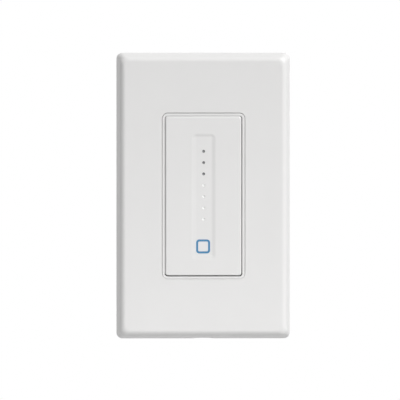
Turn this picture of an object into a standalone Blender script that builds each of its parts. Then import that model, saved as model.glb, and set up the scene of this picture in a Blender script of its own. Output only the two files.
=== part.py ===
"""A single-gang smart touch dimmer for a wall box, with its screwless wall plate.

The origin is the middle of the wall's surface. Z is up, X is to the right as seen from the room,
and Y points into the wall, so the panel faces -Y and the rear housing lies on +Y.
"""

import math

import bmesh
import bpy
from mathutils import Matrix, Vector

MM = 0.001

# Fits
SEAT = 0.3 * MM  # between pieces that rest on each other
FIT = 0.1 * MM  # between small electronic parts and their board
LIGHT_FIT = 0.05 * MM  # round the clear light guides
OVERLAP = 0.4 * MM  # how far fused shapes reach into each other
CUT_PAST = 1.0 * MM  # how far a cutter runs past the face it cuts

# Wall box: the standard single-gang spacing, and the distances that hang on it
MOUNT_SPACING = 83.3 * MM
MOUNT_TO_PLATE_SCREW = 6.75 * MM
MOUNT_TO_OPENING = 8.25 * MM
MOUNT_TO_HOUSING = 7.65 * MM
PLATE_SCREW_TO_EAR_END = 4.0 * MM

# Wall plate
PLATE_WIDTH = 69.8 * MM
PLATE_DEPTH = 7.0 * MM
PLATE_WALL = 1.8 * MM
PLATE_CORNER = 2.4 * MM
PLATE_LEAN = 1.2 * MM  # how far the sides lean in before they roll over
PLATE_ROLL = 2.5 * MM  # radius at which they turn into the face
OPENING_WIDTH = 33.4 * MM
OPENING_CORNER = 2.4 * MM
OPENING_EDGE = 0.15 * MM
PRY_WIDTH = 8.0 * MM
PRY_DEPTH = 0.9 * MM
COLLAR_WALL = 1.3 * MM
SNAP_LENGTH = 9.0 * MM
SNAP_THICK = 1.0 * MM
SNAP_BITE = 0.7 * MM  # how far a snap hook reaches behind the sub-plate's edge
SNAP_SPREAD = 60.0 * MM

# Sub-plate that the cover snaps on
SUB_PLATE_THICK = 1.2 * MM
SUB_PLATE_CORNER = 3.0 * MM
SUB_PLATE_SLACK = 0.6 * MM
SUB_PLATE_GAP = 1.0 * MM  # to the cover's leaning inside
SUB_PLATE_PAST_EAR = 1.1 * MM
SUB_PLATE_RIM = 1.2 * MM  # width of the stiffening rim round its edge
SUB_PLATE_RISE = 0.9 * MM  # how far that rim stands proud

# Frame of the device, seen as a thin ring in the opening
REVEAL = 0.25 * MM  # between the plate's opening and the frame
BEZEL_RING = 0.95 * MM
BEZEL_PROUD = 0.1 * MM
BEZEL_EDGE = 0.2 * MM
BEZEL_FLOOR = 1.0 * MM
BEZEL_LEDGE = 3.3 * MM
HOOK_THICK = 1.4 * MM
HOOK_WIDTH = 5.0 * MM
HOOK_BARB = 0.6 * MM
HOOK_INSET = 13.15 * MM  # from the frame's end to a hook's middle

# Touch panel
PANEL_GAP = 0.3 * MM  # shadow gap between the frame and the panel
PANEL_PROUD = 0.3 * MM
PANEL_WALL = 1.2 * MM
PANEL_SKIRT = 1.2 * MM
PANEL_CORNER = 1.0 * MM
PANEL_EDGE = 0.4 * MM
GROOVE_WIDTH = 10.3 * MM
GROOVE_MARGIN = 6.2 * MM  # from the panel's ends
GROOVE_DEPTH = 0.28 * MM
GROOVE_SLOPE = 2.2 * MM
GROOVE_CORNER = 2.6 * MM
GROOVE_DROP = 0.5 * MM  # the groove's middle lies this far below the panel's

# Dots and square icon
DOT_COUNT = 7
DOT_START = 7.3 * MM  # from the groove's top to the first dot
DOT_RADIUS = 0.6 * MM
ICON_RISE = 5.9 * MM  # from the groove's lower end to the icon's middle
ICON_SPACE = 11.0 * MM  # from the last dot to the icon's middle
ICON_SIZE = 5.75 * MM
ICON_STROKE = 0.9 * MM
ICON_CORNER = 1.3 * MM
ICON_INLAY = 0.45 * MM
ICON_LEG_RADIUS = 0.35 * MM

# Hinge of the panel and its travel
HINGE_DROP = 2.45 * MM  # from the panel's top edge down to the hinge rail
RAIL_RADIUS = 0.8 * MM
RAIL_LIFT = 0.3 * MM  # between the frame's floor and the rail
CLIP_RUNNING = 0.1 * MM
CLIP_WALL = 0.8 * MM
CLIP_WIDTH = 4.0 * MM
CLIP_SPACING = 18.0 * MM
PRESS_ANGLE = math.radians(0.5)

# Front board
BOARD_THICK = 1.0 * MM
BOARD_SLACK = 0.45 * MM
LED_LENGTH = 1.6 * MM
LED_WIDTH = 0.8 * MM
LED_HEIGHT = 0.6 * MM
BAFFLE_WIDTH = 8.4 * MM
BAFFLE_THICK = 0.8 * MM
BAFFLE_MARGIN = 3.0 * MM
BAFFLE_HOLE_RADIUS = 1.3 * MM
TACT_BELOW_ICON = 7.3 * MM
TACT_SIZE = 4.6 * MM
TACT_HEIGHT = 0.9 * MM
TACT_FLOOR = 0.2 * MM
TACT_CAP = 0.6 * MM
TACT_RADIUS = 1.2 * MM
TACT_SPARE = 0.05 * MM  # free depth left under the plunger when it is pressed home

# Metal strap
YOKE_THICK = 1.5 * MM
YOKE_SIDE_INSET = 0.25 * MM  # of the wings from the housing's sides
YOKE_PAST_HOUSING = 6.0 * MM
YOKE_EAR_WIDTH = 26.0 * MM
YOKE_CORNER = 2.0 * MM
MOUNT_SLOT_WIDTH = 7.0 * MM
MOUNT_SLOT_HEIGHT = 4.4 * MM
GROUND_INSET = 5.5 * MM  # from the wing's side

# Screws
HEAD_GAP = 0.25 * MM  # round a head or shank that passes through a hole
MOUNT_SCREW_RADIUS = 1.75 * MM
MOUNT_HEAD_RADIUS = 3.5 * MM
MOUNT_HEAD_HEIGHT = 1.8 * MM
MOUNT_SCREW_LENGTH = 22.0 * MM
SUB_SCREW_RADIUS = 1.5 * MM
SUB_HEAD_RADIUS = 2.9 * MM
SUB_HEAD_HEIGHT = 1.1 * MM
SUB_SCREW_LENGTH = 6.0 * MM
GROUND_SCREW_RADIUS = 1.7 * MM
GROUND_HEAD_RADIUS = 2.7 * MM
GROUND_HEAD_HEIGHT = 2.4 * MM
HOUSING_SCREW_RADIUS = 0.9 * MM
HOUSING_HEAD_RADIUS = 1.8 * MM
HOUSING_SCREW_LENGTH = 8.0 * MM
SLOT_WIDTH = 0.8 * MM
SLOT_SHARE = 0.5  # depth of a driver slot as a share of its head's height

# Rear housing
HOUSING_WIDTH = 44.5 * MM
HOUSING_DEPTH = 31.7 * MM
HOUSING_WALL = 1.8 * MM
HOUSING_CORNER = 2.5 * MM
HOUSING_LEAN = 0.5 * MM
HOUSING_CHAMFER = 1.4 * MM
LEDGE_STEP = 2.7 * MM
FRONT_CHAMBER_DEPTH = 9.0 * MM
BOSS_LENGTH = 8.0 * MM
BACK_RECESS_MARGIN = 2.4 * MM  # from the wire channels and from the chamfered ends
BACK_RECESS_DEPTH = 0.4 * MM

# Terminals
BAY_SPACING = 28.0 * MM
BAY_WALL = 1.9 * MM
BAY_HEIGHT = 12.4 * MM
BAY_START = 11.0 * MM
BAY_LENGTH = 14.0 * MM
BAY_DEPTH = 4.6 * MM
WIRE_CHANNEL = 3.4 * MM
CLAMP_THICK = 1.2 * MM
CLAMP_SIZE = 10.4 * MM
CLAMP_TAIL_WIDTH = 3.0 * MM
CLAMP_TAIL_THICK = 0.8 * MM
CLAMP_TAIL_REACH = 1.3 * MM
TERMINAL_SCREW_RADIUS = 1.6 * MM
TERMINAL_HEAD_RADIUS = 3.7 * MM
TERMINAL_HEAD_HEIGHT = 2.0 * MM
TERMINAL_SCREW_LENGTH = 2.6 * MM

# Main board and what it carries
MAIN_BOARD_SLACK = 0.5 * MM
MAIN_BOARD_THICK = 1.6 * MM
LEG_ROOM = 1.9 * MM  # between the transistors and the main board
PAD_WIDTH = 24.0 * MM
PAD_HEIGHT = 20.0 * MM
PAD_THICK = 0.5 * MM
PAD_RISE = 14.0 * MM
TRANSISTOR_GAP = 1.4 * MM
TRANSISTOR_WIDTH = 10.0 * MM
TRANSISTOR_BODY_HEIGHT = 9.0 * MM
TRANSISTOR_THICK = 4.4 * MM
TRANSISTOR_TAB_HEIGHT = 6.4 * MM
TRANSISTOR_TAB_THICK = 1.3 * MM
TRANSISTOR_TAB_HOLE = 1.8 * MM
LEG_WIDTH = 0.8 * MM
LEG_THICK = 0.6 * MM
LEG_PITCH = 2.54 * MM
LEG_COUNT = 3
LEG_LENGTH = 3.0 * MM
PART_MARGIN = 0.8 * MM  # round each part on the main board
CAPACITOR_RADIUS = 4.5 * MM
CAPACITOR_HEIGHT = 16.0 * MM
CHOKE_RADIUS = 4.6 * MM
CHOKE_WINDING_RADIUS = 1.9 * MM
TRANSFORMER_WIDTH = 11.0 * MM
TRANSFORMER_HEIGHT = 15.0 * MM
TRANSFORMER_DEPTH = 12.0 * MM
BOBBIN_INSET = 2.4 * MM
RADIO_WIDTH = 12.0 * MM
RADIO_HEIGHT = 20.0 * MM
RADIO_BOARD_THICK = 0.8 * MM
RADIO_CAN_INSET = 1.0 * MM
RADIO_CAN_HEIGHT = 2.4 * MM
FUSE_RADIUS = 1.9 * MM
FUSE_LENGTH = 9.0 * MM
FUSE_CAP_LENGTH = 2.2 * MM
FUSE_CAP_LIP = 0.25 * MM
HEADER_COLUMNS = 4
HEADER_ROWS = 2
HEADER_PIN = 0.64 * MM
HEADER_BLOCK = 2.5 * MM
HEADER_DROP = 18.0 * MM

# Smoothness
CORNER_STEPS = 5
EDGE_STEPS = 4
TURN_STEPS = 16
SMOOTH_ANGLE = math.radians(35)

# Places worked out from the sizes above. FRONT and BACK are Y values.
SUB_SCREW_SPACING = MOUNT_SPACING + 2 * MOUNT_TO_PLATE_SCREW
YOKE_HEIGHT = SUB_SCREW_SPACING + 2 * PLATE_SCREW_TO_EAR_END
OPENING_HEIGHT = MOUNT_SPACING - 2 * MOUNT_TO_OPENING
HOUSING_HEIGHT = MOUNT_SPACING - 2 * MOUNT_TO_HOUSING
PLATE_TO_SUB_PLATE = PLATE_WALL + PLATE_LEAN + SUB_PLATE_GAP
SUB_PLATE_WIDTH = PLATE_WIDTH - 2 * PLATE_TO_SUB_PLATE
SUB_PLATE_HEIGHT = YOKE_HEIGHT + 2 * SUB_PLATE_PAST_EAR
PLATE_HEIGHT = SUB_PLATE_HEIGHT + 2 * PLATE_TO_SUB_PLATE
HOUSING_FRONT = SEAT
YOKE_FRONT = -YOKE_THICK
BEZEL_BACK = YOKE_FRONT - SEAT
BEZEL_FLOOR_FRONT = BEZEL_BACK - BEZEL_FLOOR
PLATE_FRONT = -PLATE_DEPTH
PLATE_INSIDE = PLATE_FRONT + PLATE_WALL
BEZEL_FRONT = PLATE_FRONT - BEZEL_PROUD
BEZEL_WIDTH = OPENING_WIDTH - 2 * REVEAL
BEZEL_HEIGHT = OPENING_HEIGHT - 2 * REVEAL
BEZEL_CORNER = OPENING_CORNER - REVEAL
WELL_WIDTH = BEZEL_WIDTH - 2 * BEZEL_RING
WELL_HEIGHT = BEZEL_HEIGHT - 2 * BEZEL_RING
PANEL_WIDTH = WELL_WIDTH - 2 * PANEL_GAP
PANEL_HEIGHT = WELL_HEIGHT - 2 * PANEL_GAP
PANEL_FRONT = BEZEL_FRONT - PANEL_PROUD
PANEL_INSIDE = PANEL_FRONT + PANEL_WALL
GROOVE_FLOOR = PANEL_FRONT + GROOVE_DEPTH
RAIL_Y = BEZEL_FLOOR_FRONT - RAIL_LIFT - RAIL_RADIUS
RAIL_Z = PANEL_HEIGHT / 2 - HINGE_DROP
GROOVE_HEIGHT = PANEL_HEIGHT - 2 * GROOVE_MARGIN
GROOVE_BOTTOM = -GROOVE_DROP - GROOVE_HEIGHT / 2
ICON_DROP = -GROOVE_BOTTOM - ICON_RISE
DOT_TOP = GROOVE_BOTTOM + GROOVE_HEIGHT - DOT_START
DOT_PITCH = (DOT_TOP + ICON_DROP - ICON_SPACE) / (DOT_COUNT - 1)
TACT_DROP = ICON_DROP + TACT_BELOW_ICON
SKIRT_BACK = RAIL_Y - RAIL_RADIUS - SEAT
SUB_PLATE_BACK = YOKE_FRONT - SEAT
SUB_PLATE_FRONT = SUB_PLATE_BACK - SUB_PLATE_THICK
FRONT_BOARD_BACK = BEZEL_FLOOR_FRONT - SEAT
FRONT_BOARD_FRONT = FRONT_BOARD_BACK - BOARD_THICK
FRONT_BOARD_TOP = RAIL_Z - RAIL_RADIUS - CLIP_RUNNING - CLIP_WALL - 2 * SEAT
FRONT_BOARD_BOTTOM = BOARD_SLACK - WELL_HEIGHT / 2
LED_FRONT = FRONT_BOARD_FRONT - FIT - LED_HEIGHT
BAFFLE_FRONT = FRONT_BOARD_FRONT - FIT - BAFFLE_THICK
TACT_TRAVEL = (RAIL_Z + TACT_DROP) * math.sin(PRESS_ANGLE)
GUIDE_BACK = min(LED_FRONT, BAFFLE_FRONT) - TACT_TRAVEL
TACT_BACK = FRONT_BOARD_FRONT - FIT
TACT_FRONT = TACT_BACK - TACT_HEIGHT
PLUNGER_BACK = TACT_BACK - TACT_FLOOR - TACT_TRAVEL - TACT_SPARE
PLUNGER_FRONT = TACT_FRONT - TACT_CAP
HOUSING_BACK = HOUSING_FRONT + HOUSING_DEPTH
YOKE_WING_WIDTH = HOUSING_WIDTH - 2 * YOKE_SIDE_INSET
YOKE_WING_HEIGHT = HOUSING_HEIGHT + 2 * YOKE_PAST_HOUSING
GROUND_X = GROUND_INSET - YOKE_WING_WIDTH / 2
GROUND_DROP = (YOKE_WING_HEIGHT + HOUSING_HEIGHT) / 4
CHAMBER_WIDTH = HOUSING_WIDTH - 2 * (BAY_DEPTH + BAY_WALL)
FRONT_CHAMBER_HEIGHT = HOUSING_HEIGHT - 2 * BOSS_LENGTH
TRANSISTOR_FACE = SEAT + PAD_THICK + SEAT
TRANSISTOR_SPACING = TRANSISTOR_WIDTH + TRANSISTOR_GAP
CHAMBER_HEIGHT = HOUSING_HEIGHT - 2 * HOUSING_WALL - 2 * HOUSING_LEAN
CHAMBER_BACK = HOUSING_BACK - HOUSING_WALL
BAY_FLOOR_X = HOUSING_WIDTH / 2 - BAY_DEPTH
BAY_MIDDLE_Y = BAY_START + BAY_LENGTH / 2
MAIN_BOARD_FRONT = TRANSISTOR_FACE + TRANSISTOR_THICK + LEG_ROOM
MAIN_BOARD_BACK = MAIN_BOARD_FRONT + MAIN_BOARD_THICK
MAIN_BOARD_WIDTH = CHAMBER_WIDTH - 2 * MAIN_BOARD_SLACK
MAIN_BOARD_HEIGHT = CHAMBER_HEIGHT - 2 * MAIN_BOARD_SLACK
DEEP_CHAMBER_HEIGHT = CHAMBER_HEIGHT - 2 * LEDGE_STEP
BACK_RECESS_WIDTH = 2 * (BAY_FLOOR_X - BACK_RECESS_MARGIN)
BACK_RECESS_HEIGHT = HOUSING_HEIGHT - 2 * (HOUSING_LEAN + HOUSING_CHAMFER + BACK_RECESS_MARGIN)
BOSS_X = (CHAMBER_WIDTH + HOUSING_WIDTH) / 4
BOSS_Z = (FRONT_CHAMBER_HEIGHT + HOUSING_HEIGHT) / 4
HOOK_X = WELL_WIDTH / 2 - BEZEL_LEDGE / 2
HOOK_Z = BEZEL_HEIGHT / 2 - HOOK_INSET


def new_collection(name):
    collection = bpy.data.collections.new(name)
    bpy.context.scene.collection.children.link(collection)
    return collection


def clear_scene():
    for thing in list(bpy.data.objects):
        bpy.data.objects.remove(thing, do_unlink=True)


def finish(name, color, roughness, metallic=0.0, glow=0.0):
    """Principled material of one plain colour, lit from within where glow is above zero."""
    material = bpy.data.materials.new(name)
    material.use_nodes = True
    shader = material.node_tree.nodes["Principled BSDF"]
    shader.inputs["Base Color"].default_value = (*color, 1.0)
    shader.inputs["Roughness"].default_value = roughness
    shader.inputs["Metallic"].default_value = metallic
    shader.inputs["Emission Color"].default_value = (*color, 1.0)
    shader.inputs["Emission Strength"].default_value = glow
    return material


def place(name, bm, material, location=(0.0, 0.0, 0.0)):
    """Object from a bmesh. A piece has a material; a shape without one is a cutter or a fused part."""
    mesh = bpy.data.meshes.new(name)
    bmesh.ops.recalc_face_normals(bm, faces=bm.faces)
    bm.to_mesh(mesh)
    bm.free()
    mesh.shade_smooth()
    mesh.set_sharp_from_angle(angle=SMOOTH_ANGLE)
    return put(name, mesh, material, location)


def put(name, mesh, material, location):
    thing = bpy.data.objects.new(name, mesh)
    thing.location = location
    if material is None:
        CUTTERS.objects.link(thing)
        thing.hide_render = True
        thing.display_type = "WIRE"
    else:
        PARTS.objects.link(thing)
        mesh.materials.append(material)
    return thing


def slab(name, width, height, corner, levels, material=None, x=0.0, z=0.0):
    """Rounded rectangle in the XZ plane, carried through (y, inset) levels as a closed block."""
    bm = bmesh.new()
    bmesh.ops.create_grid(bm, x_segments=1, y_segments=1, size=1.0)
    y, inset = levels[0]
    for vertex in bm.verts:
        side = math.copysign(width / 2 - inset, vertex.co.x)
        end = math.copysign(height / 2 - inset, vertex.co.y)
        vertex.co = Vector((side, y, end))
    bmesh.ops.bevel(
        bm, geom=bm.verts[:], offset=corner, offset_type="OFFSET",
        segments=CORNER_STEPS, profile=0.5, affect="VERTICES",
    )
    face = bm.faces[:][0]
    for number, (y, next_inset) in enumerate(levels[1:]):
        grown = bmesh.ops.extrude_face_region(bm, geom=[face])
        if number:
            bmesh.ops.delete(bm, geom=[face], context="FACES_ONLY")
        face = next(item for item in grown["geom"] if isinstance(item, bmesh.types.BMFace))
        wide = (width / 2 - next_inset) / (width / 2 - inset)
        tall = (height / 2 - next_inset) / (height / 2 - inset)
        for vertex in face.verts:
            vertex.co = Vector((vertex.co.x * wide, y, vertex.co.z * tall))
        inset = next_inset
    return place(name, bm, material, (x, 0.0, z))


def box(name, size, middle, material=None):
    bm = bmesh.new()
    bmesh.ops.create_cube(bm, size=1.0, matrix=Matrix.Diagonal((*size, 1.0)))
    return place(name, bm, material, middle)


def rod(name, radius, start, end, material=None, steps=TURN_STEPS):
    """Plain round rod from one point to another."""
    start, end = Vector(start), Vector(end)
    bm = bmesh.new()
    turn = (end - start).to_track_quat("Z", "Y").to_matrix().to_4x4()
    bmesh.ops.create_cone(
        bm, cap_ends=True, segments=steps, radius1=radius, radius2=radius,
        depth=(end - start).length, matrix=turn,
    )
    return place(name, bm, material, (start + end) / 2)


def turned(name, profile, material, location, toward):
    """Profile of (radius, height) pairs, from its top on the axis down its outer side, turned round."""
    bm = bmesh.new()
    points = [bm.verts.new((radius, 0.0, height)) for radius, height in profile]
    for first, second in zip(points, points[1:]):
        bm.edges.new((first, second))
    mesh = bpy.data.meshes.new(name)
    bm.to_mesh(mesh)
    bm.free()
    thing = put(name, mesh, material, location)
    thing.rotation_euler = Vector(toward).to_track_quat("Z", "Y").to_euler()
    screw = thing.modifiers.new("turned", "SCREW")
    screw.axis = "Z"
    screw.steps = screw.render_steps = TURN_STEPS
    screw.use_merge_vertices = True
    screw.merge_threshold = 1e-5
    screw.use_smooth_shade = True
    return thing


def combine(target, tool, operation="DIFFERENCE"):
    step = target.modifiers.new(tool.name, "BOOLEAN")
    step.operation = operation
    step.object = tool
    return target


def fuse(target, tool):
    return combine(target, tool, "UNION")


def drill(target, name, radius, x, z, start, end, steps=TURN_STEPS):
    """Round hole along Y."""
    return combine(target, rod(f"{name}_hole", radius, (x, start, z), (x, end, z), steps=steps))


def carry(pivot, things):
    """Hangs pieces on an empty that sits on their joint, with each piece left where it is."""
    for thing in things:
        thing.parent = pivot
        thing.matrix_parent_inverse = Matrix.Translation(-pivot.location)


def pivot_at(name, location):
    pivot = bpy.data.objects.new(name, None)
    pivot.location = location
    pivot.empty_display_size = 5 * MM
    PARTS.objects.link(pivot)
    return pivot


def rolled(back, front, lean, roll):
    """Levels of a side that leans in and then rolls over, without a crease, into the front face."""
    begin = 0.0
    for _ in range(4):
        begin = math.atan2(lean, back - front - roll * (1 - math.sin(begin)))
    levels = [(back, 0.0)]
    for step in range(EDGE_STEPS + 1):
        angle = begin + (math.pi / 2 - begin) * step / EDGE_STEPS
        inset = lean + roll * (math.cos(begin) - math.cos(angle))
        levels.append((front + roll * (1 - math.sin(angle)), inset))
    return levels


def eased(start, end, slope):
    """Levels of a soft-edged recess, from its floor out to its mouth, and on past the face."""
    steps = EDGE_STEPS + 2
    levels = []
    for step in range(steps + 1):
        share = step / steps
        rise = (1 - math.cos(math.pi * share)) / 2
        levels.append((start + (end - start) * rise, slope * (1 - share)))
    levels.append((end - CUT_PAST, 0.0))
    return levels


def straight(start, end):
    return [(start, 0.0), (end, 0.0)]


def slotted_screw(name, head_radius, head_height, radius, length, material, location, toward):
    """Pan-head screw that points away from `toward`, with a driver slot across its head."""
    crown = head_height * 0.35
    profile = [
        (0.0, head_height),
        (head_radius * 0.6, head_height * 0.95),
        (head_radius * 0.9, head_height - crown),
        (head_radius, crown),
        (head_radius, 0.0),
        (radius, 0.0),
        (radius, -length + radius),
        (radius * 0.5, -length),
        (0.0, -length),
    ]
    screw = turned(name, profile, material, location, toward)
    depth = head_height * SLOT_SHARE
    middle = Vector(location) + Vector(toward) * (head_height - depth / 2 + CUT_PAST / 2)
    along = 2 * (head_radius + CUT_PAST)
    slot = box(f"{name}_slot", (SLOT_WIDTH, along, depth + CUT_PAST), middle)
    slot.rotation_euler = screw.rotation_euler
    return combine(screw, slot)


def wall_plate(material):
    """Moulded cover: leaning sides that roll into the face, a collar round the opening, snap hooks."""
    plate = slab(
        "wall_plate", PLATE_WIDTH, PLATE_HEIGHT, PLATE_CORNER,
        rolled(0.0, PLATE_FRONT, PLATE_LEAN, PLATE_ROLL), material,
    )
    wall = 2 * PLATE_WALL
    inside = rolled(0.0, PLATE_INSIDE, PLATE_LEAN, PLATE_ROLL - PLATE_WALL / 2)
    inside[0] = (CUT_PAST, 0.0)
    inner_corner = max(PLATE_CORNER - PLATE_WALL, PLATE_WALL / 2)
    combine(plate, slab("plate_inside", PLATE_WIDTH - wall, PLATE_HEIGHT - wall, inner_corner, inside))
    collar_width = OPENING_WIDTH + 2 * COLLAR_WALL
    collar_height = OPENING_HEIGHT + 2 * COLLAR_WALL
    collar = straight(SUB_PLATE_FRONT - SEAT, PLATE_INSIDE - OVERLAP)
    fuse(plate, slab("plate_collar", collar_width, collar_height, OPENING_CORNER + COLLAR_WALL, collar))
    mouth = [
        (CUT_PAST, 0.0),
        (PLATE_FRONT + OPENING_EDGE, 0.0),
        (PLATE_FRONT, -OPENING_EDGE),
        (PLATE_FRONT - CUT_PAST, -OPENING_EDGE),
    ]
    combine(plate, slab("plate_opening", OPENING_WIDTH, OPENING_HEIGHT, OPENING_CORNER, mouth))
    inside_face = PLATE_WIDTH / 2 - PLATE_WALL
    reach = inside_face + OVERLAP - (SUB_PLATE_WIDTH / 2 - SNAP_BITE)
    for side in (-1, 1):
        for end in (-1, 1):
            middle = (
                side * (inside_face + OVERLAP - reach / 2),
                SUB_PLATE_BACK + SEAT + SNAP_THICK / 2,
                end * SNAP_SPREAD / 2,
            )
            fuse(plate, box("plate_snap_hook", (reach, SNAP_THICK, SNAP_LENGTH), middle))
    notch = (PRY_WIDTH, PRY_DEPTH + CUT_PAST, PLATE_WALL + 2 * CUT_PAST)
    middle = (0, (CUT_PAST - PRY_DEPTH) / 2, (PLATE_WALL - PLATE_HEIGHT) / 2)
    return combine(plate, box("pry_notch", notch, middle))


def sub_plate(material):
    """Shallow tray with a raised rim, screwed to the strap, which the cover snaps on."""
    rim_front = SUB_PLATE_FRONT - SUB_PLATE_RISE
    plate = slab(
        "sub_plate", SUB_PLATE_WIDTH, SUB_PLATE_HEIGHT, SUB_PLATE_CORNER,
        straight(SUB_PLATE_BACK, rim_front), material,
    )
    tray_width = SUB_PLATE_WIDTH - 2 * SUB_PLATE_RIM
    tray_height = SUB_PLATE_HEIGHT - 2 * SUB_PLATE_RIM
    tray = straight(SUB_PLATE_FRONT, rim_front - CUT_PAST)
    combine(plate, slab("sub_plate_tray", tray_width, tray_height, SUB_PLATE_CORNER - SUB_PLATE_RIM, tray))
    slack = 2 * SUB_PLATE_SLACK
    window = straight(SUB_PLATE_BACK + CUT_PAST, SUB_PLATE_FRONT - CUT_PAST)
    combine(
        plate,
        slab("sub_plate_window", BEZEL_WIDTH + slack, BEZEL_HEIGHT + slack, OPENING_CORNER, window),
    )
    for end in (-1, 1):
        head = MOUNT_HEAD_RADIUS + HEAD_GAP
        drill(plate, "mount_head", head, 0, end * MOUNT_SPACING / 2, window[0][0], window[1][0])
        shank = SUB_SCREW_RADIUS + HEAD_GAP
        drill(plate, "sub_screw", shank, 0, end * SUB_SCREW_SPACING / 2, window[0][0], window[1][0])
    return plate


def bezel(material):
    """Frame of the device: ring, floor with a window, hinge rail, hooks through the strap."""
    frame = slab(
        "bezel", BEZEL_WIDTH, BEZEL_HEIGHT, BEZEL_CORNER,
        rolled(BEZEL_BACK, BEZEL_FRONT, 0.0, BEZEL_EDGE), material,
    )
    corner = PANEL_CORNER + PANEL_GAP
    well = straight(BEZEL_FLOOR_FRONT, BEZEL_FRONT - CUT_PAST)
    combine(frame, slab("bezel_well", WELL_WIDTH, WELL_HEIGHT, corner, well))
    window = straight(BEZEL_BACK + CUT_PAST, BEZEL_FLOOR_FRONT - CUT_PAST)
    ledge = 2 * BEZEL_LEDGE
    combine(frame, slab("bezel_window", WELL_WIDTH - ledge, WELL_HEIGHT - ledge, corner, window))
    rail_end = WELL_WIDTH / 2 + OVERLAP
    fuse(frame, rod("hinge_rail", RAIL_RADIUS, (-rail_end, RAIL_Y, RAIL_Z), (rail_end, RAIL_Y, RAIL_Z)))
    barb_back = SEAT + HOOK_BARB + SEAT
    length = barb_back - BEZEL_BACK + OVERLAP
    for side in (-1, 1):
        for end in (-1, 1):
            z = end * HOOK_Z
            shaft = (side * HOOK_X, barb_back - length / 2, z)
            fuse(frame, box("bezel_hook", (HOOK_THICK, length, HOOK_WIDTH), shaft))
            barb = (side * (HOOK_X + HOOK_BARB / 2), barb_back - HOOK_BARB / 2, z)
            fuse(frame, box("bezel_barb", (HOOK_THICK + HOOK_BARB, HOOK_BARB, HOOK_WIDTH), barb))
    return frame


def dot_heights():
    return [DOT_TOP - DOT_PITCH * number for number in range(DOT_COUNT)]


def icon_legs():
    """Places of the four legs behind the icon, each under the middle of one side."""
    reach = (ICON_SIZE - ICON_STROKE) / 2
    return [(reach, -ICON_DROP), (-reach, -ICON_DROP), (0, reach - ICON_DROP), (0, -reach - ICON_DROP)]


def square_ring(name, size, stroke, corner, start, end, material=None):
    """Rounded square outline, as a flat ring."""
    ring = slab(name, size, size, corner, straight(start, end), material, z=-ICON_DROP)
    inner = size - 2 * stroke
    past = straight(start + CUT_PAST, end - CUT_PAST)
    core = slab(f"{name}_core", inner, inner, max(corner - stroke, stroke / 2), past, z=-ICON_DROP)
    return combine(ring, core)


def touch_panel(material):
    """Shallow moulded shell with a soft groove, seats for the light guides and two rail clips."""
    panel = slab(
        "touch_panel", PANEL_WIDTH, PANEL_HEIGHT, PANEL_CORNER,
        rolled(SKIRT_BACK, PANEL_FRONT, 0.0, PANEL_EDGE), material,
    )
    skirt = 2 * PANEL_SKIRT
    hollow = straight(SKIRT_BACK + CUT_PAST, PANEL_INSIDE)
    hollow_corner = max(PANEL_CORNER - PANEL_SKIRT, PANEL_SKIRT / 2)
    combine(panel, slab("panel_hollow", PANEL_WIDTH - skirt, PANEL_HEIGHT - skirt, hollow_corner, hollow))
    for side in (-1, 1):
        x = side * CLIP_SPACING / 2
        ends = (x - CLIP_WIDTH / 2, x + CLIP_WIDTH / 2)
        outer = RAIL_RADIUS + CLIP_RUNNING + CLIP_WALL
        fuse(panel, rod("rail_clip", outer, (ends[0], RAIL_Y, RAIL_Z), (ends[1], RAIL_Y, RAIL_Z)))
        web = RAIL_Y - PANEL_INSIDE + OVERLAP
        middle = (x, RAIL_Y - web / 2, RAIL_Z)
        fuse(panel, box("clip_web", (CLIP_WIDTH, web, 2 * RAIL_RADIUS), middle))
        bore = RAIL_RADIUS + CLIP_RUNNING
        past = (ends[0] - CUT_PAST, ends[1] + CUT_PAST)
        combine(panel, rod("clip_bore", bore, (past[0], RAIL_Y, RAIL_Z), (past[1], RAIL_Y, RAIL_Z)))
        mouth = (CLIP_WIDTH + 2 * CUT_PAST, 2 * outer, 4 * outer)
        combine(panel, box("clip_mouth", mouth, (x, RAIL_Y + RAIL_RADIUS / 2 + outer, RAIL_Z)))
    pip = (0, PLUNGER_FRONT - SEAT, -TACT_DROP)
    fuse(panel, rod("press_pip", TACT_RADIUS, pip, (0, PANEL_INSIDE - OVERLAP, -TACT_DROP)))
    groove = eased(GROOVE_FLOOR, PANEL_FRONT, GROOVE_SLOPE)
    combine(panel, slab("groove", GROOVE_WIDTH, GROOVE_HEIGHT, GROOVE_CORNER, groove, z=-GROOVE_DROP))
    for z in dot_heights():
        drill(panel, "dot", DOT_RADIUS + LIGHT_FIT, 0, z, SKIRT_BACK, PANEL_FRONT - CUT_PAST)
    inlay_size = ICON_SIZE + 2 * LIGHT_FIT
    inlay_stroke = ICON_STROKE + 2 * LIGHT_FIT
    inlay_floor = GROOVE_FLOOR + ICON_INLAY + LIGHT_FIT
    inlay_corner = ICON_CORNER + LIGHT_FIT
    mouth = PANEL_FRONT - CUT_PAST
    combine(panel, square_ring("icon_seat", inlay_size, inlay_stroke, inlay_corner, inlay_floor, mouth))
    for x, z in icon_legs():
        drill(panel, "icon_leg", ICON_LEG_RADIUS + LIGHT_FIT, x, z, SKIRT_BACK, inlay_floor - LIGHT_FIT)
    return panel


def light_pipes(lit, unlit):
    """Clear rods from the groove's floor back to the lamps. The upper ones show dark."""
    pipes = []
    for number, z in enumerate(dot_heights(), start=1):
        ends = (0, GUIDE_BACK, z), (0, GROOVE_FLOOR, z)
        material = unlit if number <= DOT_COUNT // 2 else lit
        pipes.append(rod(f"light_pipe_{number}", DOT_RADIUS, *ends, material))
    return pipes


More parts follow.
